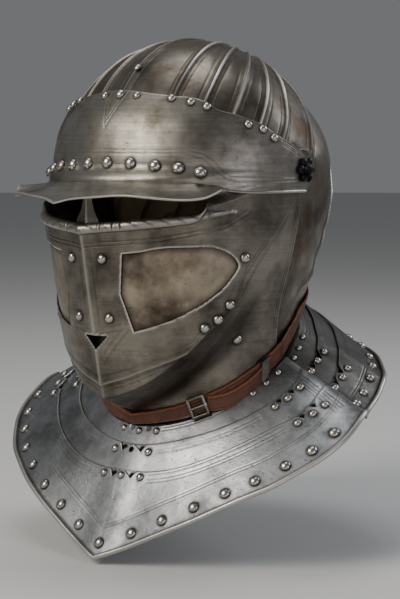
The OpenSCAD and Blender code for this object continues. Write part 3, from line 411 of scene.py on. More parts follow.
def shell(name, outer, inner, keep, marks, wrap=False):
    """One closed plate from an outer grid and an inner one; wrap closes it round a pole."""
    u, v = outer.shape[:2]
    w = inner.shape[1]
    a = np.arange(u * v).reshape(u, v)
    b = u * v + np.arange(u * w).reshape(u, w)
    points = np.concatenate([outer.reshape(-1, 3), inner.reshape(-1, 3)])
    blank = np.zeros(u * w)
    marks = {k: np.concatenate([m.ravel(), blank]) for k, m in marks.items()}
    a2, b2 = (np.vstack([a, a[:1]]), np.vstack([b, b[:1]])) if wrap else (a, b)
    quads = [np.stack([a2[:-1, :-1], a2[1:, :-1], a2[1:, 1:], a2[:-1, 1:]], -1),
             np.stack([b2[:-1, :-1], b2[:-1, 1:], b2[1:, 1:], b2[1:, :-1]], -1),
             np.stack([a2[:-1, -1], a2[1:, -1], b2[1:, -1], b2[:-1, -1]], -1)]
    if not wrap:
        quads.append(np.stack([a2[1:, 0], a2[:-1, 0], b2[:-1, 0], b2[1:, 0]], -1))
    faces = np.concatenate([q.reshape(-1, 4) for q in quads]).tolist()
    if wrap:
        top = len(points)
        points = np.vstack([points, outer[:, 0].mean(0), inner[:, 0].mean(0)])
        marks = {k: np.concatenate([m, [0, 0]]) for k, m in marks.items()}
        faces += [[int(a2[k + 1, 0]), int(a2[k, 0]), top] for k in range(u)]
        faces += [[int(b2[k, 0]), int(b2[k + 1, 0]), top + 1] for k in range(u)]
    else:
        faces += end_strip(a[0].tolist(), b[0].tolist(), keep)
        faces += [f[::-1] for f in end_strip(a[-1].tolist(), b[-1].tolist(), keep)]
    if enclosed(points, faces) < 0:
        faces = [f[::-1] for f in faces]
    return make_mesh(name, points, faces, marks)


def fractions(n, edge):
    """0 to 1 in n steps, with close rows at both edges for a softened corner."""
    return np.concatenate([[0, edge, 2.5 * edge], np.linspace(5 * edge, 1 - 5 * edge, n),
                           [1 - 2.5 * edge, 1 - edge, 1]])


def coarse(v, step):
    """Rows of the inner grid, out of v rows of the outer one."""
    return sorted(set(list(range(0, v, step)) + [v - 1]))


def outward(grid, inside, wrap=False):
    """Direction away from inside, square to the grid."""
    g = np.concatenate([grid[-1:], grid, grid[:1]]) if wrap else grid
    n = np.cross(np.gradient(g, axis=0), np.gradient(g, axis=1))
    n = n[1:-1] if wrap else n
    n = n / np.maximum(np.linalg.norm(n, axis=-1, keepdims=True), 1e-12)
    return n * np.sign(np.sum(n * (grid - inside), -1))[..., None]


def rows_between(low, high, shares):
    """Values that run from low to high along each column, at the given shares."""
    return low[:, None] + (high - low)[:, None] * shares


def form_grids(kind, az, low, high, shares, outer_layer, inner_layer):
    """Azimuths and elevations of a plate's grid on a form, and its outer and inner points."""
    el = rows_between(low, high, shares)
    wide_az = np.broadcast_to(az[:, None], el.shape)
    return wide_az, el, on(kind, wide_az, el, outer_layer), on(kind, wide_az, el, inner_layer)


def plate(name, outer, inner, step, dirt_and_shade=0.0, edge=0.0, wrap=False):
    """A shell with its two marks, whose inner grid keeps one row in every step rows."""
    keep = coarse(outer.shape[1], step)
    marks = {"dirt_and_shade": np.broadcast_to(dirt_and_shade, outer.shape[:2]),
             "edge": np.broadcast_to(edge, outer.shape[:2])}
    return shell(name, outer, inner[:, keep], keep, marks, wrap)


def flat_on(reach, az, el, o):
    """Distance out and height of a form's points, in the upright plane of each azimuth."""
    r = reach(direction(az, el), o)
    return np.stack([np.cos(np.radians(el)) * r, np.sin(np.radians(el)) * r], -1)


def stand_up(flat, az):
    """Points in space from distances out and heights, with one azimuth to a column."""
    s, k = np.sin(np.radians(az))[:, None], np.cos(np.radians(az))[:, None]
    return np.stack([flat[..., 0] * s, -flat[..., 0] * k, flat[..., 1]], -1)


# %% Engraved lines


def dense(points, step):
    """The corners of a line, with points added between them."""
    p = np.array(points, float)
    out = [p[:1]]
    for a, b in zip(p[:-1], p[1:]):
        n = max(1, int(np.linalg.norm(b - a) / step))
        out.append(a + (b - a) * (np.arange(1, n + 1) / n)[:, None])
    return np.concatenate(out)


def line_on(place, corners, step=0.15):
    """A line on a plate, given by corners that place turns into points in mm."""
    p = dense(corners, step)
    return place(p[:, 0], p[:, 1])


def distance_to(points, lines):
    """Distance in mm from each point to the nearest of the lines."""
    spots = np.concatenate(lines)
    tree_of_spots = kdtree.KDTree(len(spots))
    for k, s in enumerate(spots):
        tree_of_spots.insert(s, k)
    tree_of_spots.balance()
    flat = points.reshape(-1, 3)
    return np.array([tree_of_spots.find(p)[2] for p in flat]).reshape(points.shape[:-1])


def groove(distance, half_width):
    """1 in the middle of a line, 0 beside it."""
    return clamp01(1 - distance / half_width)


def both(lines):
    """Corner lists on the left side and, mirrored, on the right side."""
    return lines + [[[-c[0], c[1]] for c in line] for line in lines]


def smooth_by_angle(made, degrees=42):
    bpy.ops.object.select_all(action="DESELECT")
    made.select_set(True)
    bpy.context.view_layer.objects.active = made
    bpy.ops.object.shade_smooth_by_angle(angle=math.radians(degrees))


def finish_piece(made, body, nodes, material, angle=42):
    smooth_by_angle(made, angle)
    made.data.materials.clear()
    made.data.materials.append(material)
    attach(made, body)
    if nodes:
        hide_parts(*nodes)
    print(made.name, len(made.data.polygons), "faces")
    return made


def cut(made, tools):
    """Takes tools out of a plate or joins them to it, each as its boolean mode says."""
    for source, mode in tools:
        modifier = made.modifiers.new("cut", "BOOLEAN")
        modifier.operation, modifier.solver, modifier.object = mode, "MANIFOLD", source
        bpy.ops.object.select_all(action="DESELECT")
        made.select_set(True)
        bpy.context.view_layer.objects.active = made
        bpy.ops.object.modifier_apply(modifier=modifier.name)
        bpy.data.objects.remove(source)
    return made


def prism(name, outline, depth):
    """A closed prism from an outline of points and a shift along its depth, in mm."""
    n = len(outline)
    points = np.concatenate([outline, outline + depth])
    faces = [list(range(n)), list(range(2 * n - 1, n - 1, -1))]
    faces += [[(k + 1) % n, k, n + k, n + (k + 1) % n] for k in range(n)]
    if enclosed(points, faces) < 0:
        faces = [f[::-1] for f in faces]
    return make_mesh(name, points, faces)


def rod(name, x0, x1, r, sides=48):
    """A cylinder along X on the pivot axis, in mm."""
    bpy.ops.object.select_all(action="DESELECT")
    bpy.ops.mesh.primitive_cylinder_add(
        vertices=sides, radius=r / 1000, depth=abs(x1 - x0) / 1000,
        location=((x0 + x1) / 2000, 0, 0), rotation=(0, math.pi / 2, 0))
    made = bpy.context.object
    made.name = name
    bpy.ops.object.transform_apply(location=True, rotation=True)
    return made


def bolt_hole(play=0.0):
    """The tool that drills a plate for both pivot bolts."""
    return rod("hole", -120, 120, bolt_r + play), "DIFFERENCE"


# %% [markdown]
# ## Steel and leather
# The steel was hammered, ground and polished, and has aged: a grey ground tone, brown and
# dark clouds a few centimetres wide, tiny pits, fine grinding lines, dark dirt with painted
# shade in the grooves, round the rivets and under overlapping edges, and bright metal where
# edges are rubbed, with painted highlights on edges, crests, bevels and rolls. Each of these
# is one noise or one stored mark, mixed over the last.

# %% Steel
# a Scale counts the patches in a metre, so a patch is 1000 / Scale mm wide


def ramp(tree, value, low, high, to_low=0.0, to_high=1.0):
    """The value, with low to high stretched to to_low to to_high, and held beyond them."""
    return add(tree, "MapRange", {"Value": value, "From Min": low, "From Max": high,
                                  "To Min": to_low, "To Max": to_high}).outputs[0]


def mixed(tree, share, first, second):
    """The colour first, which turns into second as share goes from 0 to 1."""
    return add(tree, "Mix", {0: share, 6: first, 7: second}, data_type="RGBA").outputs[2]


def noise(tree, where, scale, detail, **more):
    values = {"Vector": where, "Scale": scale, "Detail": detail, **more}
    return add(tree, "TexNoise", values).outputs[0]


def scaled(tree, value, factor, plus):
    """value times factor, plus another value."""
    return add(tree, "Math", {0: value, 1: factor, 2: plus},
               operation="MULTIPLY_ADD").outputs[0]


def stored(tree, mark):
    """A mark that the plates' functions stored on the points."""
    return add(tree, "Attribute", attribute_name=mark).outputs["Fac"]


def bump_of(tree, height, strength, distance):
    values = {"Strength": strength, "Distance": distance, "Height": height}
    return add(tree, "Bump", values).outputs[0]


def steel(name, ground, cloud, stain, stain_share, rough, line_scale,
          edge_tone="c9c6bf", cloud_size=45, bump=0.35, pits_from=0.665):
    """Aged polished plate: ground tone, darker clouds, brown stains, lines, dirt with painted
    shade, wear with painted highlights.
    """
    made, t = new_material(name)
    where = add(t, "TexCoord").outputs["Object"]
    # clouds of patina cloud_size mm wide, brown stains of about 26 mm, pits of about 2 mm
    clouds = noise(t, where, 1000 / cloud_size, 6.0, Roughness=0.62)
    stains = noise(t, where, 38.0, 8.0, Roughness=0.7, Distortion=0.4)
    pits = noise(t, where, 520.0, 3.0)
    # grinding lines, drawn coarser than the real 0.2 mm so that they show
    stretched = add(t, "Mapping", {"Vector": where, "Scale": line_scale}).outputs[0]
    lines = noise(t, stretched, 1.0, 5.0, Roughness=0.75)
    toned = mixed(t, ramp(t, clouds, 0.38, 0.66), colour(ground), colour(cloud))
    stain_mask = ramp(t, stains, 0.72 - stain_share, 0.9 - stain_share, 0.0, 0.75)
    stained = mixed(t, stain_mask, toned, colour(stain))
    pit_mask = ramp(t, pits, pits_from, pits_from + 0.08, 0.0, 0.65)
    pitted = mixed(t, pit_mask, stained, colour("2a2622"))
    lined = add(t, "VectorMath", {0: pitted, 1: ramp(t, lines, 0.3, 0.7, 0.82, 1.14)},
                operation="MULTIPLY").outputs[0]
    # stored marks: dirt with painted shade darkens, wear with painted highlights lightens
    dirt_and_shade, edge = stored(t, "dirt_and_shade"), stored(t, "edge")
    wear_dirt_and_painted_light = mixed(t, edge, mixed(t, dirt_and_shade, lined, colour("1d1a17")), colour(edge_tone))
    # duller in the clouds, the dirt and painted shade, and the stains
    cloud_rough = ramp(t, clouds, 0.3, 0.7, rough - 0.05, rough + 0.1)
    all_rough = scaled(t, stain_mask, 0.12, scaled(t, dirt_and_shade, 0.3, cloud_rough))
    # shallow hammer marks of about 14 mm, with the lines and the pits
    hammered = noise(t, where, 70.0, 1.0)
    relief = scaled(t, pit_mask, -0.5, scaled(t, hammered, 0.6, lines))
    surface(t, wear_dirt_and_painted_light, all_rough, Metallic=1.0, Normal=bump_of(t, relief, bump, 0.0005))
    return made


# hammered to shape, ground roughly and browned by age
skull_steel = steel("old russet-stained steel, skull", "807a70", "3a352f", "594029", 0.21,
                    0.37, (25, 25, 25), cloud_size=48)
# ground across the plate and polished, the brow plate more than the bevors
brow_steel = steel("ground steel, brow plate", "a09c93", "514b43", "65513f", 0.07, 0.34,
                   (18, 18, 700))
face_steel = steel("ground steel, bevors", "857f75", "443f39", "574633", 0.10, 0.35,
                   (18, 18, 600))
# polished bright, with no grain in one direction
gorget_steel = steel("polished steel, front lames", "aaacae", "686a6b", "5a5248", 0.07,
                     0.34, (220, 220, 220), cloud_size=30, pits_from=0.63)
# polished, then dulled grey by a thin oxide
rear_steel = steel("blue-grey steel, rear lames", "7d7b77", "43413e", "4a423b", 0.09, 0.33,
                   (120, 120, 120), cloud_size=40)
# hidden behind the windows, so never polished and left brown
inner_plate_steel = steel("brown unpolished plate behind the windows", "9a8f7e", "4a4036",
                          "4a3524", 0.12, 0.34, (60, 60, 60), cloud_size=30)
# hammered round, with a painted highlight towards the top of each head
rivet_steel = steel("worn steel rivets", "b3afa8", "6b655c", "51453a", 0.02, 0.24,
                    (100, 100, 100), cloud_size=12, bump=0.0)
# bent from rod and smoothed with a file
buckle_steel = steel("filed steel buckle", "8b8780", "55504a", "51453a", 0.04, 0.33,
                     (300, 300, 300), cloud_size=14, bump=0.12)
# burnt black in oil, with hardly any bright edge
black_iron = steel("blackened iron", "2b2a29", "151515", "2a211a", 0.03, 0.36,
                   (60, 60, 60), edge_tone="4a4846", cloud_size=14, bump=0.2)

# %% Leather, thread and linen


def leather(name, ground, worn_tone, rough):
    """Waxed leather: fine grain, blotches, dark pressed lines, lighter edges, on the strap a
    painted highlight.
    """
    made, t = new_material(name)
    where = add(t, "TexCoord").outputs["Object"]
    # pores about 1.2 mm apart, drawn coarser than the real 0.4 mm so that they show
    grain = add(t, "TexVoronoi", {"Vector": where, "Scale": 850.0}).outputs["Distance"]
    blotch = noise(t, where, 90.0, 6.0, Roughness=0.65)
    edge, dirt_and_shade = stored(t, "edge"), stored(t, "dirt_and_shade")
    toned = mixed(t, ramp(t, blotch, 0.35, 0.7), colour(ground), colour(worn_tone))
    dark = mixed(t, dirt_and_shade, mixed(t, edge, toned, colour("8c5230")), colour("1c0e08"))
    surface(t, dark, rough, Normal=bump_of(t, grain, 0.4, 0.0004))
    return made


def linen(name, ground, shade):
    """Plain woven linen: threads 1.6 mm apart, coarser than real ones so that they show."""
    made, t = new_material(name)
    where = add(t, "TexCoord").outputs["Object"]
    warp, weft = [add(t, "TexWave", {"Vector": where, "Scale": 200.0, "Distortion": 1.0},
                      bands_direction=across).outputs[1] for across in "XZ"]
    woven = add(t, "Math", {0: warp, 1: weft}, operation="MULTIPLY").outputs[0]
    soil = noise(t, where, 30.0, 5.0)
    toned = mixed(t, ramp(t, soil, 0.35, 0.75), colour(ground), colour(shade))
    surface(t, toned, 0.9, Normal=bump_of(t, woven, 0.5, 0.0003))
    return made


# tanned and waxed, with a painted highlight along its edges
strap_leather = leather("waxed red-brown leather", "5c2f17", "341a0c", 0.5)
# tanned only, then darkened by oil
inner_leather = leather("undyed leather, darkened", "4d3422", "2c1c12", 0.62)
# flax drawn through wax
thread = linen("waxed linen thread", "70442a", "4a2a18")
# woven plain and left undyed, soiled in patches
lining_linen = linen("quilted linen", "a8977a", "7c6c53")
print("materials", len(bpy.data.materials))

# %% [markdown]
# ## Rivets
# A rivet head is a low dome. One dome is modelled from a sphere that is cut in half, then
# copied to every rivet's place. Where the rivets stand is also where dirt gathers on the plates
# and where painted shade is laid round each head, so the places are kept for the plates.

# %% One dome
bpy.ops.mesh.primitive_uv_sphere_add(segments=20, ring_count=14, radius=1)
dome = bpy.context.object
bpy.ops.object.mode_set(mode="EDIT")
bpy.ops.mesh.select_all(action="SELECT")
bpy.ops.mesh.bisect(plane_co=(0, 0, 0.0), plane_no=(0, 0, 1), clear_inner=True, use_fill=True)
bpy.ops.object.mode_set(mode="OBJECT")
dome_points = np.array([v.co for v in dome.data.vertices])
dome_faces = [list(p.vertices) for p in dome.data.polygons]
bpy.data.objects.remove(dome)
print("dome", len(dome_faces), "faces")


def copies(name, places):
    """Copies of the dome at places: (point, outward direction, radius, height), in mm."""
    points, faces = [], []
    for p, n, r, h in places:
        side = unit(np.cross(n, [0.3, 0.2, 1.0] if abs(n[2]) < 0.9 else [1.0, 0, 0]))
        turn = np.stack([side, np.cross(n, side), n], -1)
        start = len(points) * len(dome_points)
        points.append((dome_points * [r, r, h]) @ turn.T + p)
        faces += [[start + k for k in f] for f in dome_faces]
    # each head gets a painted highlight towards its top and painted shade at its foot
    edge = np.tile(clamp01(dome_points[:, 2] * 1.2 - 0.1) * 0.55, len(places))
    return make_mesh(name, np.concatenate(points), faces,
                     {"edge": edge, "dirt_and_shade": clamp01(0.55 - edge * 1.6)})


def head_places(kind, spots, o, size):
    return [(on(kind, a, e, o), normal_on(kind, a, e, o), *size) for a, e in spots]


def lame_places(spots, h, size):
    return [(lame_at(a, s, h), lame_normal(a), *size) for a, s in spots]


def rim_spots(azimuths, inside):
    """Places on a lowest lame, a given distance inside its rim."""
    return [[a, lame_length(a) - inside] for a in azimuths]


def sides(spots):
    return [q for a, b in spots for q in ([a, b], [-a, b])]


def around(spots):
    return [q for a, b in spots for q in ([a, b], [360 - a, b])]


# %% Where the rivets stand
brow_row = [[-44, -1.2], [-35, 0.3], [-25.5, 1.3], [-16, 1.8], [-6, 2.3], [4.2, 2.7],
            [14.9, 2.5], [25, 1.6], [34, 0.8], [42.2, -0.7]]
brow_upper = [[12, 31.2], [-8.2, 31.4]] + sides([[29.6, 29.3], [38.3, 27.4], [45.3, 25.2],
                                                 [62, 17.6], [68.3, 15.8], [73, 12.3]])
face_spots = sides([[7, -27.5], [7.4, -43], [59.8, -30.4], [54.2, -43], [49.4, -46],
                    [44.1, -47.4]])
front_rim_az = [12.7, 24.7, 36.3, 46.9, 56, 65, 72.7, 80.2]
rear_rim_az = [97.5, 105.4, 113.2, 121, 130, 140, 150, 160, 170]
front_heights = [k * lame_step for k in range(3)]
rear_heights = [k * lame_step - rear_inset for k in range(3)]
# radius and height of the heads
skull_head, face_head, chin_head = (2.9, 2.0), (3.4, 2.7), (3.6, 2.9)
brow_head, brow_mid_head, brow_edge_head = (4.3, 3.3), (3.6, 2.8), (2.9, 2.3)
collar_head, lame_head, rim_head, rear_rim_head = (2.4, 2.0), (2.9, 2.4), (4.0, 2.9), (3.4, 2.6)
rivets = {
    "skull_rivets": head_places("skull", [[0, 48.8]], rib_h - 0.2, skull_head),
    "brow_rivets": (head_places("brow", brow_row, brow_layer, brow_head)
                    + head_places("brow", [[1.8, 32]], brow_layer, brow_mid_head)
                    + head_places("brow", brow_upper, brow_layer, brow_edge_head)),
    "upper_bevor_rivets": head_places("face", face_spots, upper_layer, face_head),
    "lower_bevor_rivets": head_places("face", sides([[63.6, -58]]), lower_layer, chin_head),
    "front_lame_1_rivets": lame_places(
        [[-12.3, 6.5], [0, 6.5], [12.3, 6.5]] + sides([[67.2, 6.8], [75, 6.8], [82.6, 6.8]]),
        front_heights[0], collar_head),
    "front_lame_2_rivets": lame_places(
        [[-11.2, 23], [11.2, 23]] + sides([[71.7, 28.5], [77.4, 29.4], [83.8, 29.2]]),
        front_heights[1], lame_head),
    "front_gorget_rivets": lame_places(
        [[-10.7, 42.2], [0, 41.5], [10.7, 42.2]]
        + sides([[74.2, 51.7], [79.7, 53.4], [84.5, 54.1]]), front_heights[2], lame_head)
    + lame_places(rim_spots([0], 11.5) + sides(rim_spots(front_rim_az, 10.3)),
                  front_heights[2], rim_head),
    "rear_lame_1_rivets": lame_places(
        [[172, 7.5], [180, 7.5], [188, 7.5]]
        + around([[96.5, 7], [103.5, 7], [111.5, 7]]), rear_heights[0], collar_head),
    "rear_lame_2_rivets": lame_places(
        [[172.5, 23], [180, 23], [187.5, 23]]
        + around([[95.8, 24.1], [103.8, 24], [110.9, 26]]), rear_heights[1], lame_head),
    "rear_gorget_rivets": lame_places(
        [[173.5, 42], [180, 42], [186.5, 42]] + around([[104.4, 46.4], [110.6, 47]]),
        rear_heights[2], lame_head)
    + lame_places(around([[95.9, 46.7]]), rear_heights[2] + 0.25, lame_head)
    + lame_places(rim_spots([180], 10.3) + around(rim_spots(rear_rim_az, 10.3)),
                  rear_heights[2], rear_rim_head),
}
rivet_bodies = {"skull_rivets": "skull", "brow_rivets": "peak",
                "upper_bevor_rivets": "upper_bevor", "lower_bevor_rivets": "lower_bevor",
                "front_lame_1_rivets": "lower_bevor", "front_lame_2_rivets": "front_lame_2",
                "front_gorget_rivets": "front_gorget", "rear_lame_1_rivets": "skull",
                "rear_lame_2_rivets": "rear_lame_2", "rear_gorget_rivets": "rear_gorget"}
for name, places in rivets.items():
    finish_piece(copies(name + "_heads", places), rivet_bodies[name], [name],
                 rivet_steel)


def rivet_dirt_and_shade(points, names):
    """Dirt and painted shade round the rivets that stand on a plate: 1 at a head's edge, fading
    outwards.
    """
    spots = [p for n in names for p in rivets[n]]
    out = np.zeros(points.shape[:-1])
    for p, _, r, _ in spots:
        d = np.linalg.norm(points - p, axis=-1) - r
        out = np.maximum(out, np.exp(-np.maximum(d, 0) / 0.9) * 0.85)
    return out


# %% [markdown]
# ## Skull
# The bowl's ribs meet at a point behind the crown. So its grid runs in rays from that point,
# with close columns across each rib. A rib is a narrow raised fold with an engraved line on
# each side.

# %% Skull
rib_angles = np.array([46, 86, 105, 117, 129, 142, 155, 180,
                       193, 205, 218, 231, 243, 255, 274, 314])
tilt_rad = math.radians(rib_pole_tilt)
pole = np.array([0, math.sin(tilt_rad), math.cos(tilt_rad)])
across_pole = np.array([0, math.cos(tilt_rad), -math.sin(tilt_rad)])


def pole_dir(a, b):
    a, b = np.radians(a)[..., None], np.radians(b)[..., None]
    return np.cos(b) * pole + np.sin(b) * (np.cos(a) * across_pole
                                           + np.sin(a) * np.array([1.0, 0, 0]))


def column_ends(a, top, side, up):
    """How far each ray runs from the meeting point to the plate's edge."""
    lo, hi = np.full(a.shape, 20.0), np.full(a.shape, 170.0)
    for _ in range(22):
        m = (lo + hi) / 2
        d = pole_dir(a, m)
        p = d * to_skull(d, 0)[..., None]
        inside = (((p[..., 2] > top) | (p[..., 1] > -side))
                  & (p[..., 2] > neck_level(p[..., 1]) + up))
        lo, hi = np.where(inside, m, lo), np.where(inside, hi, m)
    return lo


def rays(az, start, end, steps):
    """Angles round the pole and away from it on a grid of rays, and their directions."""
    a = np.broadcast_to(az[:, None], (len(az), len(steps)))
    b = start + (end[:, None] - start) * steps
    return a, b, pole_dir(a, b)


def off_ribs(a):
    """Degrees round the pole to the nearest rib."""
    return np.min(np.abs((a[..., None] - rib_angles + 180) % 360 - 180), -1)


beside_rib = np.array([0, .35, .7, 1.05, 1.4, 1.8, 2.3, 2.65, 2.85, 3.05, 3.4, 4.0])
near_ribs = np.concatenate([[r + s * q for q in beside_rib for s in (-1, 1)]
                            for r in rib_angles])
plain = np.arange(0, 360, 1.25)
away = plain[off_ribs(plain) > 4.6]
ray_az = np.unique(np.round(np.concatenate([near_ribs % 360, away]), 3))
ray_end = column_ends(ray_az, opening_top, opening_side, 0)
steps = np.concatenate([np.linspace(0, 0.985, 108), [0.992, 0.997, 1]])
around_pole, from_pole, skull_dir = rays(ray_az, 1.2, ray_end, steps)
skull_grid = skull_dir * to_skull(skull_dir, 0)[..., None]
skull_in = skull_dir * to_skull(skull_dir, -plate_t)[..., None]
across = (off_ribs(around_pole) * np.sin(np.radians(from_pole))
          * np.linalg.norm(skull_grid, axis=-1) * math.pi / 180)
y, z = skull_grid[..., 1], skull_grid[..., 2]
# the ribs fade out at the pivots, at the meeting point, at the nape and over the brow
shown = (clamp01((np.hypot(y, z) - 16) / 7) * clamp01((from_pole - 6) / 10)
         * clamp01((z - neck_level(y) - 22) / 12)
         * np.maximum(clamp01((y - 5) / 7), clamp01((np.degrees(np.arctan2(z, -y)) + 6) / 8)))
# a narrow fold on a broad swelling, with a line 4.9 mm away on each side
fold = 1.15 * np.exp(-(across / 0.85)**2) + 0.75 * clamp01(1 - across / 4.2)**1.5
cut_line = groove(np.abs(across - 4.9), 0.6) * shown
skull_n = outward(skull_grid, skull_in, wrap=True)
skull_grid = skull_grid + skull_n * (fold * shown - 0.25 * cut_line)[..., None]
# painted highlight on each rib's crest, painted shade 2.2 mm beside it, dirt and shade in the
# lines
skull_shell = plate(
    "skull_shell", skull_grid, skull_in, 9,
    dirt_and_shade=clamp01(cut_line * 0.6 + 0.55 * shown * np.exp(-((across - 2.2) / 0.9)**2)),
    edge=clamp01(np.exp(-(across / 0.55)**2) * shown) * 0.7, wrap=True)
cut(skull_shell, [bolt_hole()])
finish_piece(skull_shell, "skull", ["skull"], skull_steel, 50)

# %% [markdown]
# ## Brow plate and peak
# The outermost plate: a band over the brow that sweeps out into the peak. Each column of the
# grid runs down the band and on along the peak's curve to its edge. Its top edge carries three
# engraved lines between the rivet groups, a V in the middle, and a border above the rivet row.

# %% Brow plate
brow_flat = pivot_flat + brow_layer
brow_end = 90 + math.degrees(math.atan(brow_tab_r / brow_flat))
column_az = np.concatenate([[-brow_end, 0.1 - brow_end, 0.4 - brow_end],
                            np.linspace(0.8 - brow_end, brow_end - 0.8, 446),
                            [brow_end - 0.4, brow_end - 0.1, brow_end]])


def beside_pivot(az, flat, r):
    """Elevation of a tab's round outline where it passes azimuth az, above the pivot."""
    y_at = flat * np.tan(np.radians(np.maximum(az, 60) - 90))
    h = np.sqrt(np.maximum(r * r - y_at * y_at, 0))
    return np.degrees(np.arctan2(h, flat / np.cos(np.radians(az - 90))))


def brow_grid(az, band, sweep, o, t):
    """Points down the band and out along the peak; t over 0 gives the inner face."""
    a = np.abs(az)
    tab = beside_pivot(a, brow_flat, brow_tab_r)
    top = np.where(a > 88, np.maximum(tab, 7 - (a - 88) * 0.9) * (a < 91) + tab * (a >= 91),
                   smooth(brow_top_edge, a))
    low = np.where(a > 91.4, -tab, smooth(brow_low_edge, a))
    el = rows_between(top, low, band)
    upright = flat_on(to_brow, np.broadcast_to(a[:, None], el.shape), el, o - t)
    c = flat_on(to_brow, a[:, None], low[:, None], o)[:, 0]
    fade = clamp01((52 - a) / 4)
    gone = clamp01((96 - a) / 6)
    tip_r = np.where(a <= 48, peak_r + smooth(peak_edge, a, 1),
                     c[:, 0] + 0.6 * gone + (peak_r + peak_edge[-1][1] - c[:, 0]) * fade)
    tip_z = np.where(a <= 48, -peak_drop + smooth(peak_edge, a, 2),
                     c[:, 1] - gone + (peak_edge[-1][2] - peak_drop - c[:, 1]) * fade)
    tip = np.stack([tip_r, tip_z], -1)
    bend = np.stack([c[:, 0] + (tip_r - c[:, 0]) * 0.35, c[:, 1] + (tip_z - c[:, 1]) * 0.72], -1)
    q = sweep[None, :, None]
    curve = (1 - q)**2 * c[:, None] + 2 * q * (1 - q) * bend[:, None] + q * q * tip[:, None]
    slope = 2 * (1 - q) * (bend - c)[:, None] + 2 * q * (tip - bend)[:, None]
    slope = slope / np.maximum(np.linalg.norm(slope, axis=-1, keepdims=True), 1e-9)
    curve = curve + np.stack([slope[..., 1], -slope[..., 0]], -1) * t
    return stand_up(np.concatenate([upright, curve], 1), az)


band = np.concatenate([[0, 0.008, 0.02], np.linspace(0.035, 1, 86)])
sweep = np.concatenate([np.linspace(0.03, 0.965, 34), [0.98, 0.992, 1.0]])
brow_out = brow_grid(column_az, band, sweep, brow_layer, 0)
brow_in = brow_grid(column_az, band, sweep, brow_layer, plate_t)


def on_brow(az, el):
    return on("brow", az, el, brow_layer)


def below_edge(a0, a1, drop_mm):
    """A line that follows the brow plate's top edge, drop_mm below it."""
    return [[a, float(smooth(brow_top_edge, a)) - drop_mm * 0.57]
            for a in np.arange(a0, a1 + 0.1, 1.0)]


brow_lines = both([below_edge(a0, a1, d) for d in (1.9, 3.5, 5.1)
                   for a0, a1 in ((14, 27), (48.5, 59.5), (77, 85.5))])
brow_lines += both([[[0, 7.9], [20, 7.9], [38, 7.6], [44, 6.2], [47.5, 3.4], [50.2, 0.6],
                     [53, -2.1], [58, -2.6], [84, -2.9]],
                    [[0, 6.6], [20, 6.6], [37, 6.3], [42.5, 4.9], [46, 2.1], [49, -1],
                     [52, -3.4], [57, -4.2], [84, -4.3]]])
brow_lines += [[[-6.3, 33.3], [0, 16.7], [6.5, 33.4]], [[-4.2, 33.4], [0, 20.2], [4.4, 33.5]]]
gap = distance_to(brow_out, [line_on(on_brow, c) for c in brow_lines])
brow_cut = groove(gap, 0.6)
# lighter along the top edge and most along the peak's rim: worn edges with a painted highlight
brow_edge = np.zeros(gap.shape)
brow_edge[:, :2] = [0.5, 0.2]
peak_part = np.abs(column_az) < 52
brow_edge[:, -4:] = np.where(peak_part[:, None], [0.45, 0.85, 1.0, 1.0], [0, 0.2, 0.4, 0.5])
sink = 0.2 * brow_cut
sink[:, 0] += 0.3
sink[:, -1] += 0.25
brow_pts = brow_out - outward(brow_out, brow_in) * sink[..., None]
# dirt with painted shade in the lines and round the rivets
brow_dirt_and_shade = clamp01(brow_cut * 0.5 + rivet_dirt_and_shade(brow_out, ["brow_rivets"]))
brow_shell = plate("brow_peak_shell", brow_pts, brow_in, 8, brow_dirt_and_shade, brow_edge)
cut(brow_shell, [bolt_hole(hole_play)])
finish_piece(brow_shell, "peak", ["brow_peak_plate"], brow_steel, 50)

# %% [markdown]
# ## Upper bevor
# The face plate's top edge is rolled outwards and filed into a rope. Its grid runs up the face
# and on round the roll, and the rope's cuts are sunk into the roll. The windows and the breath
# hole are cut with a boolean after the plate round them has been sunk to a bevel.

# %% Upper bevor: grid and roll
window_az, window_mid = 36.0, -80.0
window_corners = [[-41.7, 23.7], [-28.8, 25.3], [-20.5, 27], [-10.7, 28.2], [-0.5, 28.5],
                  [8.9, 28.6], [18.9, 28.2], [24.9, 26.6], [30.7, 23.7], [34.6, 19.7],
                  [36.5, 15.5], [34.9, 11.5], [31.3, 6.3], [27, 1], [21.5, -3.8],
                  [12.9, -10.2], [3.1, -15.7], [-6.8, -20.6], [-18.5, -25], [-30.2, -28.6],
                  [-34.4, -29.9], [-43.3, -3.8]]


def round_outline(corners, sharp, n=5):
    """A smooth closed outline through the corners, which stays sharp at the listed ones."""
    p = np.array(corners, float)
    out = []
    for k in range(len(p)):
        a, b, c, d = (p[(k + j) % len(p)] for j in (-1, 0, 1, 2))
        m0 = (c - b) if k in sharp else (c - a) / 2
        m1 = (c - b) if (k + 1) % len(p) in sharp else (d - b) / 2
        for q in np.arange(n) / n:
            out.append(b * (2 * q**3 - 3 * q**2 + 1) + m0 * (q**3 - 2 * q**2 + q)
                       + c * (3 * q**2 - 2 * q**3) + m1 * (q**3 - q**2))
    return np.array(out)


window_shape = round_outline(window_corners, {0, 20, 21})


def to_window(points, side):
    """Coordinates across and up a window, looking along its own direction."""
    w = math.radians(window_az)
    px = points[..., 0] * side
    return np.stack([px * math.cos(w) + points[..., 1] * math.sin(w),
                     points[..., 2] - window_mid], -1)


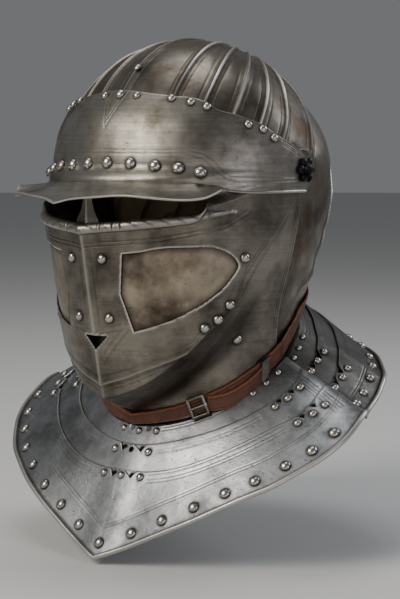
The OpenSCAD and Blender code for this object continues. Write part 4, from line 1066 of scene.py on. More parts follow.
def outline_distance(flat, shape):
    """Distance from points of a plane to a closed outline, positive outside it."""
    a, b = shape, np.roll(shape, -1, 0)
    best = np.full(flat.shape[:-1], 1e9)
    inside = np.zeros(flat.shape[:-1], bool)
    for p, q in zip(a, b):
        e = q - p
        t = clamp01(np.sum((flat - p) * e, -1) / (e @ e))
        best = np.minimum(best, np.linalg.norm(flat - p - t[..., None] * e, axis=-1))
        crosses = (p[1] > flat[..., 1]) != (q[1] > flat[..., 1])
        at_x = p[0] + (flat[..., 1] - p[1]) * e[0] / (e[1] if e[1] else 1e-12)
        inside ^= crosses & (flat[..., 0] < at_x)
    return np.where(inside, -best, best)


def window_distance(points):
    """Distance to the outline of the window on each point's own side, positive outside."""
    left, right = [outline_distance(to_window(points, side), window_shape) for side in (1, -1)]
    return np.where(points[..., 0] > 0, left, right)


bevor_az = np.arange(-98, 98.01, 0.4)
bevor_az[0], bevor_az[-1] = -97.8, 97.8
bevor_flat = pivot_flat + upper_layer
aa = np.abs(bevor_az)
top = np.where(aa > 88, beside_pivot(aa, bevor_flat, tab_r), smooth(rope_line, aa))
low_end = np.interp(aa, [88, 90.5], [-9.8, -8.1])
low = np.where(aa > 90.5, -beside_pivot(aa, bevor_flat, tab_r),
               np.where(aa > 88, low_end, smooth(upper_low_edge, aa)))
roll_r = np.maximum(rope_r * smooth(rope_taper, aa), plate_t / 2)
crest = flat_on(to_face, aa, top, upper_layer)
mid_r = crest[:, 0] + np.minimum(rope_r - roll_r, 0) - np.maximum(plate_t / 2, roll_r * 0.35)
under = np.degrees(np.arcsin(np.minimum(roll_r * 0.9 / np.linalg.norm(crest, axis=-1), 1)))
face_f = np.concatenate([[0, 0.006, 0.015], np.linspace(0.03, 0.78, 66),
                         np.linspace(0.784, 1, 60)])
el = rows_between(low, top - under, face_f)
wide_a = np.broadcast_to(aa[:, None], el.shape)
face_out = flat_on(to_face, wide_a, el, upper_layer)
face_in = flat_on(to_face, wide_a, el, upper_layer - plate_t)
thin = clamp01((1.6 - roll_r) / 0.6)[:, None]
ring_f = np.linspace(0, 1, 26)[None, :]
ring = np.radians((-50 + 30 * thin) + ring_f * (280 - 60 * thin))
roll = np.stack([mid_r[:, None] + roll_r[:, None] * np.cos(ring),
                 crest[:, 1:2] + roll_r[:, None] * np.sin(ring)], -1)


bevor_out = stand_up(np.concatenate([face_out, roll], 1), bevor_az)
bevor_in = stand_up(face_in, bevor_az)

# %% Upper bevor: rope cuts, bevels and lines
# how deep, in mm, the engraved lines, the windows' bevels and the rope's cuts go
line_depth, bevel_depth, rope_depth = 0.24, 0.7, 0.6
# the cuts come in pairs: one turn of the rope, and the places of its two cuts, in mm
rope_turn, first_cut, second_cut = 10.6, 4.2, 5.7


def to_rope_cut(twist):
    """Distance to the nearer of the two cuts in each turn."""
    place = twist % rope_turn
    return np.minimum(np.abs(place - first_cut), np.abs(place - second_cut))


n_face, n_ring = el.shape[1], ring.shape[1]
roll_line = bevor_out[:, n_face + 12]
along = np.concatenate([[0], np.cumsum(np.linalg.norm(np.diff(roll_line, axis=0), axis=-1))])
along -= np.interp(0, bevor_az, along)
over = (np.degrees(ring) - 60) / 57.3 * roll_r[:, None]
rope_cut = groove(to_rope_cut(np.abs(along)[:, None] + over * 1.25), 0.62)
# in three places beside the keel the cuts stand upright and close together
for a0, a1 in ((6.9, 9.0), (12.4, 15.2), (-9.3, -6.4)):
    zone = (bevor_az > a0 - 0.4) & (bevor_az < a1 + 0.4)
    bands = np.min([np.abs(bevor_az - q) for q in np.linspace(a0, a1, 3)], 0)
    rope_cut[zone] = groove(bands[zone] * 2.2, 0.75)[:, None]
rope_cut = rope_cut * clamp01((roll_r - 0.75) / 0.8)[:, None] * clamp01((ring_f - 0.02) * 9)
grid_n = np.concatenate([outward(bevor_out[:, :n_face], bevor_in),
                         stand_up(np.stack([np.cos(ring), np.sin(ring)], -1), bevor_az)], 1)


def on_face(az, el):
    return on("face", az, el, upper_layer)


def above_edge(table, a0, a1, rise_mm, step=1.5):
    """A line that follows the plate's lower edge, rise_mm above it."""
    out = []
    for a in np.arange(a0, a1 + 0.1, step):
        e = float(smooth(table, a))
        r = np.linalg.norm(on("face", a, e, upper_layer))
        slope = (float(smooth(table, a + 1)) - float(smooth(table, a - 1))) / 2
        out.append([a, e + math.degrees(rise_mm / r) * math.sqrt(1 + (slope / math.cos(
            math.radians(e)))**2)])
    return out


face_lines = both([
    [[0.4, -22.7], [14, -22.3], [28, -21.6], [42, -20.2], [52, -18.6], [60, -14.6]],
    [[0.4, -23.9], [14, -23.5], [28, -22.9], [42, -21.5], [52, -20.1], [62, -15.6]],
    above_edge(upper_low_edge, 0.5, 84, 2.6), above_edge(upper_low_edge, 0.5, 80, 4.6),
    [[3.4, -50.3], [12.5, -45.4]], [[2.6, -52.4], [14.6, -46.0]],
    [[0.5, -45.5], [12, -44.6]], [[0.5, -46.6], [11, -45.7]],
    [[2.6, -25], [3.0, -44.5]],
])
skin = bevor_out[:, :n_face]
gap = distance_to(skin, [line_on(on_face, c) for c in face_lines])
window_gap = window_distance(skin)
breath = np.array([[-10, -113.8], [0, -123.6], [10, -113.8]])
breath_flat = np.stack([skin[..., 0], skin[..., 2]], -1)
breath_gap = np.where(skin[..., 1] < -60, outline_distance(breath_flat, breath), 9)
bevel = np.maximum(clamp01(1 - window_gap / 1.3), clamp01(1 - breath_gap / 1.2))
line_cut = groove(gap, 0.75) * (1 - clamp01(bevel * 5)) * clamp01(window_gap - 1)
sink = line_depth * line_cut + bevel_depth * bevel
# the roll runs out in a point on the plate: a half-round ridge along its line
wide_az = np.broadcast_to(bevor_az[:, None], skin.shape[:2])
tail_at = np.interp(np.abs(wide_az), *zip(*roll_tail))
tail_share = [[39, 0], [42, 0.62], [44, 0.68], [46.5, 0.6], [50, 0.45], [53, 0.31],
              [55.5, 0.17], [56.5, 0]]
tail_r = rope_r * np.interp(np.abs(wide_az), *zip(*tail_share))
from_tail = np.radians(el - tail_at) * np.linalg.norm(skin, axis=-1)
ridge = np.sqrt(np.maximum(tail_r**2 - from_tail**2, 0))
tail_cut = groove(to_rope_cut(np.abs(wide_az) * 1.75 + from_tail * 1.1), 0.6)
on_tail = clamp01(ridge / 0.6) * clamp01((tail_r - 1.3) / 0.8) * 0.7
sink = np.where(ridge > 0.05, 0, sink) - ridge * 0.85 + 0.35 * tail_cut * on_tail
sink[:, 0] += 0.35
sink[:, 1] += 0.12
all_sink = np.concatenate([sink, rope_depth * rope_cut], 1)
bevor_pts = bevor_out - grid_n * all_sink[..., None]
# painted highlights on the bevels, the tail's ridge and its end; lighter on the keel and lower
# edge
keel_line = np.exp(-(skin[..., 0] / 1.3)**2)
bright = np.maximum(clamp01(bevel * 3) * 0.85, keel_line * 0.4)
bright = np.maximum(bright, clamp01(ridge / 1.2) * 0.4 * (1 - tail_cut * on_tail))
bright = np.maximum(bright, clamp01((np.abs(wide_az) - 52.5) / 1.5) * clamp01(ridge * 3) * 0.8)
bright[:, :2] = np.maximum(bright[:, :2], [0.4, 0.2])
# a painted highlight along the rope roll, but not in its cuts
roll_highlight = 0.42 * clamp01(roll_r[:, None] - 0.9) * (1 - rope_cut) * np.ones(ring.shape)
# dirt with painted shade in the lines, the tail's cuts, the rope's cuts and round the rivets
bevor_marks = {
    "dirt_and_shade": np.concatenate([clamp01(line_cut * 0.45 + tail_cut * on_tail
                                    + rivet_dirt_and_shade(skin, ["upper_bevor_rivets"])), rope_cut], 1),
    "edge": np.concatenate([bright, roll_highlight], 1)}
keep = coarse(n_face, 8)
closing = keep[:-1] + [n_face + n_ring - 1]
bevor_shell = shell("upper_bevor_shell", bevor_pts, bevor_in[:, keep], closing, bevor_marks)


def window_cutter(side):
    w = math.radians(window_az)
    right = np.array([math.cos(w), math.sin(w), 0])
    ahead = np.array([math.sin(w), -math.cos(w), 0])
    pts = window_shape[:, :1] * right + [0, 0, window_mid] + window_shape[:, 1:] * [0, 0, 1.0]
    pts = pts + ahead * 60
    return prism("window", pts * [side, 1, 1], ahead * [side, 1, 1] * 90)


hole_pts = np.stack([breath[:, 0], np.full(3, -80.0), breath[:, 1]], -1)
cut(bevor_shell, [(window_cutter(1), "DIFFERENCE"), (window_cutter(-1), "DIFFERENCE"),
                  (prism("breath", hole_pts, np.array([0, -60.0, 0])), "DIFFERENCE"),
                  bolt_hole(hole_play)])
finish_piece(bevor_shell, "upper_bevor", ["upper_bevor"], face_steel, 50)

# %% [markdown]
# ## Plate behind the windows, and the bar of the sight
# The windows show a browner plate that lies close behind them. A pressed bar with a ridge
# stands in the middle of the sight.

# %% Plate behind the windows
backing_az = np.arange(-61, 61.01, 0.8)
backing_layer, backing_t = upper_layer - plate_t - 0.4, 1.0
f = fractions(56, 0.008)
_, _, back_out, back_in = form_grids(
    "face", backing_az, smooth(backing_low_edge, np.abs(backing_az)),
    -23 + np.abs(backing_az) * 0.035, f, backing_layer, backing_layer - backing_t)
# painted shade on this plate: dark under the face plate, fading 5 mm into each window
backing = plate("window_backing_plate", back_out, back_in, 10,
                dirt_and_shade=clamp01(1 + window_distance(back_out) / 5) * 0.75)
finish_piece(backing, "upper_bevor", ["window_backing"], inner_plate_steel)

# %% Bar of the sight
bar_t = 1.1
foot_layer = backing_layer - backing_t - 0.3
behind_roll = on("face", 0.0, -18.4, upper_layer)[1] + 1.5 * rope_r + 0.3
bar_rows = []
for e_at, half_az in ((-29, 8.6), (-26, 8.6), (-23.5, 6)):
    m, e = on("face", 0.0, e_at, foot_layer), on("face", half_az, e_at, foot_layer)
    bar_rows.append([e[0], e[1] - m[1], m[1], e[2]])
for z_at, half in ((-44.5, 10.4), (-36, 10.4), (-33.2, 9.4), (-30.5, 7.7), (-27.9, 6.2),
                   (-24.5, 5), (-21, 4.1), (-17, 3.8)):
    bar_rows.append([half, 1.6, behind_roll, z_at])
bar_rows = np.array(bar_rows)
fine = np.linspace(0, len(bar_rows) - 1, 60)
row = np.stack([np.interp(fine, np.arange(len(bar_rows)), bar_rows[:, c]) for c in range(4)], -1)
cross_f = np.linspace(-1, 1, 25)
grid = np.stack([row[:, None, 0] * cross_f, row[:, None, 2] + row[:, None, 1] * np.abs(cross_f),
                 row[:, None, 3] + 0 * cross_f], -1)
back = grid + [0, bar_t, 0]
ridge_mark = np.broadcast_to(np.exp(-(cross_f / 0.09)**2) * 0.8, grid.shape[:2])
side_mark = np.broadcast_to((np.abs(cross_f) > 0.95) * 0.5, grid.shape[:2])
bar = plate("sight_bar_plate", grid, back, 4, edge=np.maximum(ridge_mark, side_mark))
finish_piece(bar, "upper_bevor", ["sight_bar"], face_steel, 25)

# %% [markdown]
# ## Lower bevor
# The chin plate follows the same face form one layer further in. It ends behind in a straight
# edge with a double line, and hangs on a round tab at each pivot.

# %% Lower bevor


def neck_elevation(kind, az, o):
    lo, hi = np.full(az.shape, -80.0), np.full(az.shape, -30.0)
    for _ in range(22):
        m = (lo + hi) / 2
        p = on(kind, az, m, o)
        over = p[..., 2] > neck_level(p[..., 1])
        lo, hi = np.where(over, lo, m), np.where(over, m, hi)
    return lo


chin_az = np.concatenate([[-90.5, -90.2, -89.8], np.arange(-89.4, 89.41, 0.4), [89.8, 90.2, 90.5]])
chin_low = neck_elevation("face", np.abs(chin_az), lower_layer)
chin_top = smooth(lower_top_edge, np.abs(chin_az))
wide_az, el, chin_out, chin_in = form_grids(
    "face", chin_az, chin_low, chin_top, fractions(96, 0.004), lower_layer,
    lower_layer - plate_t)


def on_chin(az, el):
    return on("face", az, el, lower_layer)


chin_lines = both([[[89.0, -4], [89.0, -60]], [[87.3, -4], [87.3, -62]],
                   above_edge(upper_low_edge, 0.5, 84, -2.6),
                   above_edge(upper_low_edge, 0.5, 84, -4.4)])
gap = distance_to(chin_out, [line_on(on_chin, c) for c in chin_lines])
chin_cut = groove(gap, 0.6)
sink = 0.22 * chin_cut
sink[:, 0] += 0.3
sink[[0, -1]] += 0.4
keel_mark = np.exp(-(chin_out[..., 0] / 1.3)**2) * 0.2
rear_mark = np.exp(-np.abs(90.5 - np.abs(wide_az)) / 0.35) * 0.5
# painted shadow in a band where the upper bevor's edge lies over this plate
shadow_under_upper = clamp01(1 - np.abs(el - smooth(upper_low_edge, np.abs(wide_az))) / 1.0)
chin_shell = plate(
    "lower_bevor_shell", chin_out - outward(chin_out, chin_in) * sink[..., None], chin_in, 9,
    dirt_and_shade=clamp01(chin_cut * 0.5 + 0.5 * shadow_under_upper
                 + rivet_dirt_and_shade(chin_out, ["lower_bevor_rivets"])),
    edge=np.maximum(keel_mark, rear_mark))
tab_mid = pivot_flat + lower_layer - plate_t / 2
tab_half = plate_t / 2 + (layer - plate_t - 0.3) / 2
cut(chin_shell, [(rod("tab", s * (tab_mid - tab_half), s * (tab_mid + tab_half), tab_r, 64),
                  "UNION") for s in (1, -1)]
    + [bolt_hole(hole_play)])
finish_piece(chin_shell, "lower_bevor", ["lower_bevor"], face_steel, 50)

# %% [markdown]
# ## Gorget lames
# Three lames in front and three behind, each lower one lying over the one above. Their upper
# edges are cusped beside the groups of three rivets, and every lame has a double engraved line
# along that edge. The lowest lames end in a turned rim, the highest start with a collar that
# stands up inside the strap. One function makes all six.

# %% Lames


def notch(a, places, depth=5.8, half=4.5):
    """How far the upper edge is cut back at azimuth a: a V beside each rivet at places,
    wider towards the middle of its group, where two of them leave a pointed cusp."""
    out = np.zeros(a.shape)
    for c, width, towards_mid in places:
        mm = (a - c) * width * np.sign(towards_mid)
        share = np.where(mm > 0, mm / abs(towards_mid), -mm / half)
        out = np.maximum(out, depth * clamp01(1 - share)**1.35)
    return out


def shadow_in_bites(places, table):
    """Painted shadow on the lame below, where it shows through the bites."""
    return [(c, float(smooth(table, folded(c))) + 3.6, 3.7) for c, _, _ in places]


def to_spot(points, az, s, h):
    """Distance from points to a place on a lame."""
    return np.linalg.norm(points - lame_at(az, s, h), axis=-1)


def turned_rim(az, full, h):
    """The rolled rim beyond a lame's outer grid, with its painted highlight and painted shade."""
    r = np.where((folded(az) > front_end + 1) | (np.abs(az) < 92.1), rim_r, lame_t * 0.8)
    outwards, up = unit(rim_point(az) - lame_top(az)), lame_normal(az)
    middle = lame_at(az, full, 0 * full + h) + up * (r - lame_t)[:, None]
    g = np.radians(np.linspace(140, -90, 18))
    roll = (middle[:, None] + outwards[:, None] * (r[:, None] * np.cos(g))[..., None]
            + up[:, None] * (r[:, None] * np.sin(g))[..., None])
    rim_highlight, shade = 0.25 + 0.5 * clamp01(np.cos(g - 0.6)), clamp01(np.linspace(0.8, -2, 18))
    return roll, np.broadcast_to(rim_highlight, roll.shape[:2]), np.broadcast_to(shade, roll.shape[:2])


def collar_rows(az, o, rise, down):
    """Two rows of the outer face and two of the inner one that stand up round the neck."""
    c, d = neck_point(turned(az), o), neck_point(turned(az), o - lame_t)
    up = np.array([0, 0, 1.0])
    return (np.stack([c + up * rise, c - up * down], 1),
            np.stack([d + up * rise, d - up * (down + lame_t)], 1))


def lame(side, level, lines, sunk=(), shadows=(), cutter=None):
    """A gorget lame: level 1 has a collar, level 3 a turned rim, and level 2 neither."""
    lames = lame_sets[side]
    az, h = lames["az"], lames["heights"][level - 1]
    part = side + ("_lame_1", "_lame_2", "_gorget")[level - 1]
    from_end = np.minimum(np.abs(az - az[0]), np.abs(az - az[-1]))[:, None]
    start = 3.0 + 0 * az
    if level > 1:
        corner = 1 - clamp01(from_end[:, 0] * 1.9 / corner_r)
        start = (smooth(upper_edges[level], folded(az)) + notch(az, bites[side, level])
                 + corner_r * (1 - np.sqrt(1 - corner**2)))
    # the rear rim stops short where it lies under the front plate
    hidden = (h < 0) & (folded(az) < seam_az)
    full = lame_length(az) - 0.5 - rim_short * hidden
    if level == 3:
        stop, n_rows, first_row = full - rim_r * 0.8, 74, 0.006
    else:
        stop, n_rows, first_row = smooth(upper_edges[level + 1], folded(az)) + overlap, 30, 0.014
    s = rows_between(start, stop, fractions(n_rows, first_row))
    wide_az = np.broadcast_to(az[:, None], s.shape)
    face, inner = lame_at(wide_az, s, 0 * s + h), lame_at(wide_az, s, 0 * s + h - lame_t)
    gap = distance_to(face, [line_on(lambda p, q: lame_at(p, q, 0 * q + h), c, 0.3)
                             for c in lines])
    line_cut = groove(gap, 0.62)
    for spot_az, spot_s in sunk:
        line_cut = np.maximum(line_cut, clamp01((2.6 - to_spot(face, spot_az, spot_s, h)) / 0.7))
    sink, bright = 0.25 * line_cut, np.zeros(s.shape)
    # the upper edge of lames 2 and 3 is sunk to a bevel with a painted highlight
    if level > 1:
        sink[:, :2] += [0.4, 0.15]
        bright[:, :3] = [0.55, 0.3, 0.1]
    bright = np.maximum(bright, np.exp(-from_end / 0.3) * 0.4)
    dirt_and_shade = clamp01(line_cut * 0.55 + rivet_dirt_and_shade(face, [part + "_rivets"]))
    # painted shade in the crease before the turned rim of the lowest lame
    if level == 3:
        dirt_and_shade = np.maximum(dirt_and_shade, np.exp(-np.abs(stop[:, None] - 0.6 - s) / 1.3) * 0.9)
    else:
        # painted shadow in the bites of the next lame, in open holes, and under the next lame's
        # edge
        next_edge = upper_edges[level + 1]
        for spot_az, spot_s, r in shadow_in_bites(bites[side, level + 1], next_edge) + list(shadows):
            dirt_and_shade = np.maximum(dirt_and_shade, clamp01((r - to_spot(face, spot_az, spot_s, h)) / 1.2))
        above = smooth(next_edge, folded(az))[:, None] - s
        dirt_and_shade = np.maximum(dirt_and_shade, 0.85 * np.exp(-np.abs(above) / 0.75))
    outer = face - lame_normal(wide_az) * sink[..., None]
    keep = coarse(s.shape[1], 7)
    inner, closing = inner[:, keep], list(keep)
    if level == 3:
        # the rim's painted highlight and painted shade join the marks
        roll, rim_highlight, shade = turned_rim(az, full, h)
        outer = np.concatenate([outer, roll], 1)
        bright, dirt_and_shade = np.concatenate([bright, rim_highlight], 1), np.concatenate([dirt_and_shade, shade], 1)
        closing[-1] = outer.shape[1] - 1
    if level == 1:
        rows_out, rows_in = collar_rows(az, *lames["collar"])
        outer, inner = np.concatenate([rows_out, outer], 1), np.concatenate([rows_in, inner], 1)
        blank = np.zeros((len(az), 2))
        bright, dirt_and_shade = np.concatenate([blank, bright], 1), np.concatenate([blank, dirt_and_shade], 1)
        closing = [0, 1] + [k + 2 for k in keep]
    node, piece = (part + "_plate", part + "_shell") if level == 3 else (part, part + "_plate")
    made = shell(piece, outer, inner, closing, {"edge": bright, "dirt_and_shade": dirt_and_shade})
    if cutter:
        cut(made, [(cutter, "DIFFERENCE")])
    body = lames["body"] if level == 1 else part
    finish_piece(made, body, [node], lames["material"], 50)


# mm: the ends' rounded corners, how far a lame runs on under the next, the rear rim's gap
corner_r, overlap, rim_short = 4.5, 8, 7.0
seam_az = 91.4
upper_edges = {2: second_top, 3: third_top}


def mirrored(left, turn):
    """Bites on the left side and their mirror images, behind where turn is 360."""
    return left + [(turn - c, width, -mid) for c, width, mid in left]


# each bite: azimuth, mm in a degree there, and mm to the middle of its group, signed
bites = {
    ("front", 2): mirrored([(6.2, 1.38, -8.6), (74.5, 1.6, 4.6), (80.6, 1.6, -5.1)], 0),
    ("front", 3): mirrored([(5.4, 1.75, -9.4), (76.9, 2.1, 5.8), (82.1, 2.1, -5.1)], 0),
    ("rear", 2): mirrored([(99.8, 1.6, 6), (107.3, 1.6, -6), (176.2, 1.5, 5.7)], 360),
    ("rear", 3): mirrored([(100.1, 2.0, 7), (107.5, 2.0, -7), (176.7, 1.9, 6.2)], 360)}
front_az = np.concatenate([[-92, -91.8, -91.5], np.linspace(-91.1, 91.1, 470), [91.5, 91.8, 92]])
rear_az = np.concatenate([[84, 84.3], np.linspace(84.8, 275.2, 400), [275.7, 276]])
# a collar is its layer, its height, which is less beside the front's ends, and its depth
lame_sets = {
    "front": {"az": front_az, "heights": front_heights, "body": "lower_bevor",
              "slot": "bright_steel", "material": gorget_steel,
              "collar": (0.6, np.where(np.abs(front_az) < 75, 6.0, -1.2)[:, None], 2)},
    "rear": {"az": rear_az, "heights": rear_heights, "body": "skull",
             "slot": "blue_grey_steel", "material": rear_steel,
             "collar": (-plate_t - 0.8, 6.0, 5)}}


def edge_lines(table, downs, spans):
    """Lines that follow a lame's upper edge, each distance down, over each span."""
    return [[[a, float(smooth(table, folded(a))) + down] for a in np.arange(a0, a1 + 0.1, 2.0)]
            for down in downs for a0, a1 in spans]


def rim_lines(a0, a1, insides, step):
    return [rim_spots(np.arange(a0, a1 + 0.1, step), inside) for inside in insides]


def end_lines(s0, s1):
    """The fine lines along a front lame's end, beside the seam."""
    return both([[[88.4 - k, s0], [88.4 - k, s1]] for k in (0, 1.2, 2.4, 3.6)])


# %% Front lames
# a rivet is lost from the second lame, so its hole is open, darkened by painted shadow beneath
open_hole, open_hole_r = (0.0, 21.5), 2.2
bpy.ops.mesh.primitive_cylinder_add(
    vertices=40, radius=open_hole_r / 1000, depth=0.012,
    location=lame_at(*open_hole, front_heights[1]) / 1000)
hole_tool = bpy.context.object
hole_tool.rotation_euler = Vector(lame_normal(open_hole[0])).to_track_quat("Z", "X").to_euler()
bpy.ops.object.transform_apply(location=True, rotation=True)

lame("front", 1, edge_lines([[0, 4.2], [180, 4.2]], (0, 2.2), ((-62, -16), (16, 62)))
     + end_lines(4, 30), sunk=[(-6.2, 4.0), (6.2, 4.0)], shadows=[(*open_hole, 3.6)])
lame("front", 2, edge_lines(second_top, (5.2, 7.6), ((-66, -15), (15, 66)))
     + end_lines(22, 60), cutter=hole_tool)
lame("front", 3, edge_lines(third_top, (2.0, 5.6, 8.0), ((-70, -14), (14, 70)))
     + both(rim_lines(0, 91.5, (22.5, 24.6), 1.5)) + end_lines(46, 64))

# %% Rear lames
rear_spans = ((116, 168), (192, 244))
lame("rear", 1, edge_lines([[0, 9], [180, 9]], (0, 2.2), rear_spans))
lame("rear", 2, edge_lines(second_top, (5.5, 7.5), rear_spans))
lame("rear", 3, edge_lines(third_top, (5.5, 7.5), rear_spans)
     + rim_lines(93, 267, (15, 17), 2.0))

# %% [markdown]
# ## Strap
# A red-brown leather strap runs round the neck, and its loose end lies over it past the
# buckle. Each stretch is a closed strip with rounded edges, a pressed line along each edge,
# and a row of stitches.

# %% Strap
strap_w, strap_t, strap_gap, strap_split, strap_rise = 10.0, 1.9, 0.7, 92.0, 6.4
strap_in = lower_layer + strap_gap
strap_out = strap_in + strap_t


def strap_reach(d, az, o):
    s = to_skull(d, o)
    f = np.maximum(s, to_face(d, o))
    return f + (s - f) * clamp01((folded(az) - 90.5) / 6)


def strap_point(az, o, w):
    """Point of the strap: azimuth, layer, and distance across it from its middle."""
    az, o, w = np.broadcast_arrays(*(np.asarray(q, float) for q in (az, o, w)))
    level = strap_rise + w * np.sqrt(1 + (neck_slope * np.sin(np.radians(az)))**2)
    lo, hi = np.full(az.shape, -80.0), np.full(az.shape, -20.0)
    for _ in range(22):
        m = (lo + hi) / 2
        d = direction(az, m)
        p = d * strap_reach(d, az, o)[..., None]
        over = p[..., 2] > neck_level(p[..., 1]) + level
        lo, hi = np.where(over, lo, m), np.where(over, m, hi)
    d = direction(az, lo)
    return d * strap_reach(d, az, o)[..., None]


# a strap's cross-section: places across it, -1 to 1, and how deep the leather dips there, with
# a softened edge and a line pressed along each side
across_strap = np.array([-1, -0.97, -0.9, -0.74, -0.70, -0.66, -0.5, -0.25,
                         0, 0.25, 0.5, 0.66, 0.70, 0.74, 0.9, 0.97, 1])
strap_dips = np.array([0.75, 0.35, 0.08, 0, 0.3, 0, 0, 0, 0, 0, 0, 0, 0.3, 0, 0.08, 0.35, 0.75])
strap_keep = [0, 1, 4, 8, 12, 15, 16]
# stitches: share of the half width at each row, spacing and clear end in mm, and one stitch
stitch_rows, stitch_step, stitch_end = (-0.6075, 0.6075), 3.4, 2.5
stitch_points = ((-1.1, 0, -.1), (-.6, .33, 0), (.6, .33, 0), (1.1, 0, -.1),
                 (.6, -.33, 0), (-.6, -.33, 0), (-.6, 0, .3), (.6, 0, .3))
stitch_faces = ([0, 6, 1], [1, 6, 7, 2], [2, 7, 3], [3, 7, 4], [4, 7, 6, 5], [5, 6, 0],
                [0, 1, 2, 3, 4, 5])


def stitches(name, body, az, layer_at, middle, half):
    """Two rows of stitches 2.2 mm long on a strip, each a small stretched dome."""
    mids = strap_point(az, layer_at - 0.1, middle)
    length = np.concatenate([[0], np.cumsum(np.linalg.norm(np.diff(mids, axis=0), axis=-1))])
    index = np.arange(len(az))
    points, faces = [], []
    for row in stitch_rows:
        for at in np.arange(stitch_end, length[-1] - stitch_end, stitch_step):
            here, ahead = np.interp([at, at + 1], length, az)
            k = np.interp(here, az, index)
            o = np.interp(k, index, layer_at) - 0.05
            w = np.interp(k, index, middle) + row * half
            p = strap_point(here, o, w)
            s_dir = unit(strap_point(ahead, o, w) - p)
            n_dir = unit(np.cross(s_dir, strap_point(here, o, w + 0.5) - p))
            n_dir = n_dir if n_dir @ p > 0 else -n_dir
            t_dir = np.cross(n_dir, s_dir)
            faces += [[len(points) + i for i in f] for f in stitch_faces]
            points += [p + s_dir * ds + t_dir * dw + n_dir * dn for ds, dw, dn in stitch_points]
    points = np.array(points)
    if enclosed(points[:8] - points[:8].mean(0), faces[:7]) < 0:
        faces = [f[::-1] for f in faces]
    finish_piece(make_mesh(name, points, faces), body, [], thread, 30)


def strip(name, body, node, a0, a1, o0, width, n, lift=None, hang=None):
    """A sewn leather strip between two azimuths; hang moves its middle down and outwards."""
    az = np.linspace(a0, a1, n)
    half = width / 2
    up = lift(az) if lift else 0 * az
    drop, out_by = hang(az) if hang else (0 * az, 0 * az)
    o_top = o0 + strap_t + up + out_by
    wobble = 0.12 * np.sin(np.radians(az * 23)) + 0.08 * np.sin(np.radians(az * 61 + 40))
    middle = drop + wobble
    w = across_strap * half + middle[:, None]
    top_face = strap_point(az[:, None], o_top[:, None] - strap_dips, w)
    low_face = strap_point(az[:, None], (o0 + up + out_by)[:, None] + 0 * w
                           + 0.25 * (np.abs(across_strap) > 0.95), w)
    # a painted highlight along the rounded edges, and dark pressed lines
    marks = {"edge": np.where(np.abs(across_strap) > 0.85, 0.55, 0.0),
             "dirt_and_shade": np.where(np.abs(np.abs(across_strap) - 0.7) < 0.01, 0.6, 0.0)}
    made = shell(name, top_face, low_face[:, strap_keep], strap_keep,
                 {k: np.broadcast_to(m, w.shape) for k, m in marks.items()})
    finish_piece(made, body, [node], strap_leather, 60)
    stitches(name + "_stitches", body, az, o_top, middle, half)


def rear_lift(az):
    return lower_layer * clamp01((strap_split + 10 - folded(az)) / 9)


strip("strap_front_leather", "lower_bevor", "strap_front", -strap_split, strap_split,
      strap_in, strap_w, 420)
strip("strap_rear_leather", "skull", "strap_rear", strap_split + 0.4, 359.6 - strap_split,
      strap_gap, strap_w, 380, lift=rear_lift)


def tail_hang(az):
    t = clamp01((az - 48) / 34)
    sway = np.sin(np.pi * t)**0.8
    return -3.6 * sway, 0.9 * sway


strip("strap_tail_leather", "lower_bevor", "strap_tail", 47.2, 83, strap_out + 0.15,
      strap_w - 0.4, 130, hang=tail_hang)
print("strap made")

# %% [markdown]
# ## Pivots, buckle and keeper
# The pivots carry a black rosette of six petals round a domed bolt. It is built from a
# cylinder and flattened spheres, as a smith would forge petals round a boss. Bolts, nuts, the
# buckle and the keeper are plain turned or bent pieces whose CAD solids are already right, so
# they only get their finish.

# %% Rosettes
face_x = pivot_flat + brow_layer + (layer - plate_t - 0.3) / 2


# metres: the disc, the petals and the circle of their middles, and the ring round the bolt
disc_r, disc_h, disc_level = 0.0072, 0.0014, 0.00075
petal_r, petal_circle, petal_level, petal_flatness = 0.0034, 0.0060, 0.0010, 0.62
ring_r, ring_wire_r, ring_level = 0.0036, 0.0009, 0.0024


def rosette(name, side, node):
    bpy.ops.object.select_all(action="DESELECT")
    parts = []
    bpy.ops.mesh.primitive_cylinder_add(vertices=48, radius=disc_r, depth=disc_h,
                                        location=(0, 0, disc_level))
    parts.append(bpy.context.object)
    for k in range(6):
        g = math.radians(60 * k + 30)
        bpy.ops.mesh.primitive_uv_sphere_add(
            segments=20, ring_count=12, radius=petal_r,
            location=(petal_circle * math.cos(g), petal_circle * math.sin(g), petal_level))
        petal = bpy.context.object
        petal.scale = (1.0, 1.0, petal_flatness)
        parts.append(petal)
    bpy.ops.mesh.primitive_torus_add(major_radius=ring_r, minor_radius=ring_wire_r,
                                     major_segments=32, minor_segments=10,
                                     location=(0, 0, ring_level))
    parts.append(bpy.context.object)
    bpy.ops.object.select_all(action="DESELECT")
    for p in parts:
        p.select_set(True)
    bpy.context.view_layer.objects.active = parts[0]
    bpy.ops.object.join()
    made = bpy.context.object
    made.name = name
    bpy.ops.object.transform_apply(location=True, rotation=True, scale=True)
    at_side = Matrix.Translation((side * (face_x + 0.05) / 1000, 0, 0)) @ Matrix.Rotation(
        side * math.pi / 2, 4, "Y")
    made.data.transform(at_side)
    made.data.update()
    finish_piece(made, "skull", [node], black_iron, 35)


rosette("pivot_rosette_left_petals", 1, "pivot_rosette_left")
rosette("pivot_rosette_right_petals", -1, "pivot_rosette_right")

# %% Finishes of the solids that stay
kept = {"pivot_bolt_left": black_iron, "pivot_bolt_right": black_iron,
        "pivot_nut_left": black_iron, "pivot_nut_right": black_iron,
        "neck_rivets_front": rivet_steel, "neck_rivets_rear": rivet_steel,
        "strap_keeper": buckle_steel, "buckle_frame": buckle_steel,
        "buckle_tongue": buckle_steel}
for node, material in kept.items():
    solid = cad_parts[node]
    solid.data.materials.clear()
    solid.data.materials.append(material)
    smooth_by_angle(solid, 35)
print("kept", len(kept), "solids")

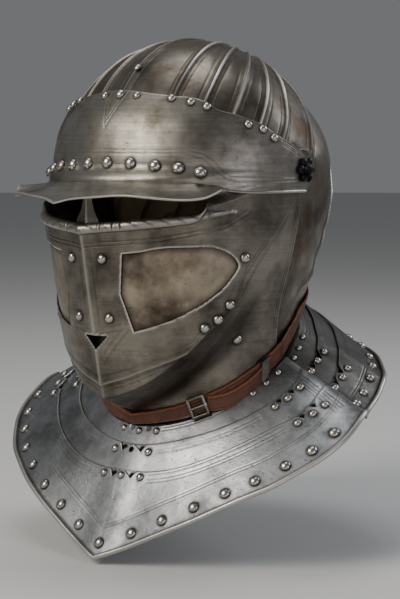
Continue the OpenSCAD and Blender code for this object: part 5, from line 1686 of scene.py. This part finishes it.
# %% [markdown]
# ## Inside: leathers and lining
# The lames hang on strips of leather inside, the brow plate has a leather band, and the skull
# has a lining of linen sewn in gores over wool.

# %% Leathers


def leather_strip(name, body, node, mid, half, s0, s1, h):
    """A slightly uneven strip on the lames' inside, from s0 to s1 down from the neck."""
    a2, s2 = np.meshgrid(np.linspace(mid - half, mid + half, 40),
                         s0 + (s1 - s0) * np.linspace(0, 1, 36), indexing="ij")
    soft = 0.12 * np.sin(a2 * 1.3) * np.sin(s2 * 0.35)
    edge = np.maximum(np.exp(-np.abs(s2 - s0) / 0.8), np.exp(-np.abs(s1 - s2) / 0.8)) * 0.4
    made = plate(name, lame_at(a2, s2, h + soft), lame_at(a2, s2, h - leather_t + soft), 5,
                 edge=edge)
    finish_piece(made, body, [node], inner_leather)


leather_t, leather_start, lining_band_t = 1.8, 3.5, 1.2
inside_h = -lame_t - 0.4
# each leather's middle and half its span in degrees, how far down it reaches, and its height
for node, body, mid, half, s1, h in (
        ("front_leather_centre", "lower_bevor", 0, 15, 50, inside_h),
        ("front_leather_left", "lower_bevor", 74, 7.5, 58, inside_h),
        ("front_leather_right", "lower_bevor", -74, 7.5, 58, inside_h),
        ("rear_leather_centre", "skull", 180, 9, 52, inside_h - rear_inset),
        ("rear_leather_left", "skull", 104, 8.5, 52, inside_h - rear_inset),
        ("rear_leather_right", "skull", 256, 8.5, 52, inside_h - rear_inset)):
    leather_strip(node + "_strip", body, node, mid, half, leather_start, s1, h)

band_az = np.linspace(-47, 47, 190)
band_o = brow_layer - plate_t - 1.1
_, _, band_out, band_in = form_grids(
    "brow", band_az, -0.5 - np.abs(band_az) * 0.04, 7 - np.abs(band_az) * 0.05,
    np.linspace(0, 1, 16), band_o, band_o - lining_band_t)
lining_band = plate("brow_lining_strip", band_out, band_in, 3)
finish_piece(lining_band, "peak", ["brow_lining_band"], inner_leather)

# %% Quilted lining
gore_width, quilt_rows = 15, 6
gore_az = np.arange(0, 360, 1.0)
gore_end = column_ends(gore_az, opening_top + 12, opening_side - 22, 40)
steps = np.linspace(0, 1, 90)
around_pole, _, d = rays(gore_az, 4, gore_end, steps)
seam = np.abs((around_pole % gore_width) - gore_width / 2) / (gore_width / 2)
puff = np.sqrt(np.maximum(1 - seam**4, 0))
cross_seam = np.abs((steps * quilt_rows) % 1 - 0.5) * 2
puff = puff * (0.55 + 0.45 * np.sqrt(np.maximum(1 - cross_seam**6, 0)))[None, :]
lap = d * to_skull(d, -plate_t - 1.3)[..., None]
pad = d * (to_skull(d, -plate_t - 4.6) - 4.4 * puff)[..., None]
lining = plate("skull_lining_quilt", pad, lap, 9, wrap=True)
finish_piece(lining, "skull", ["skull_lining"], lining_linen, 60)
print("lining made")
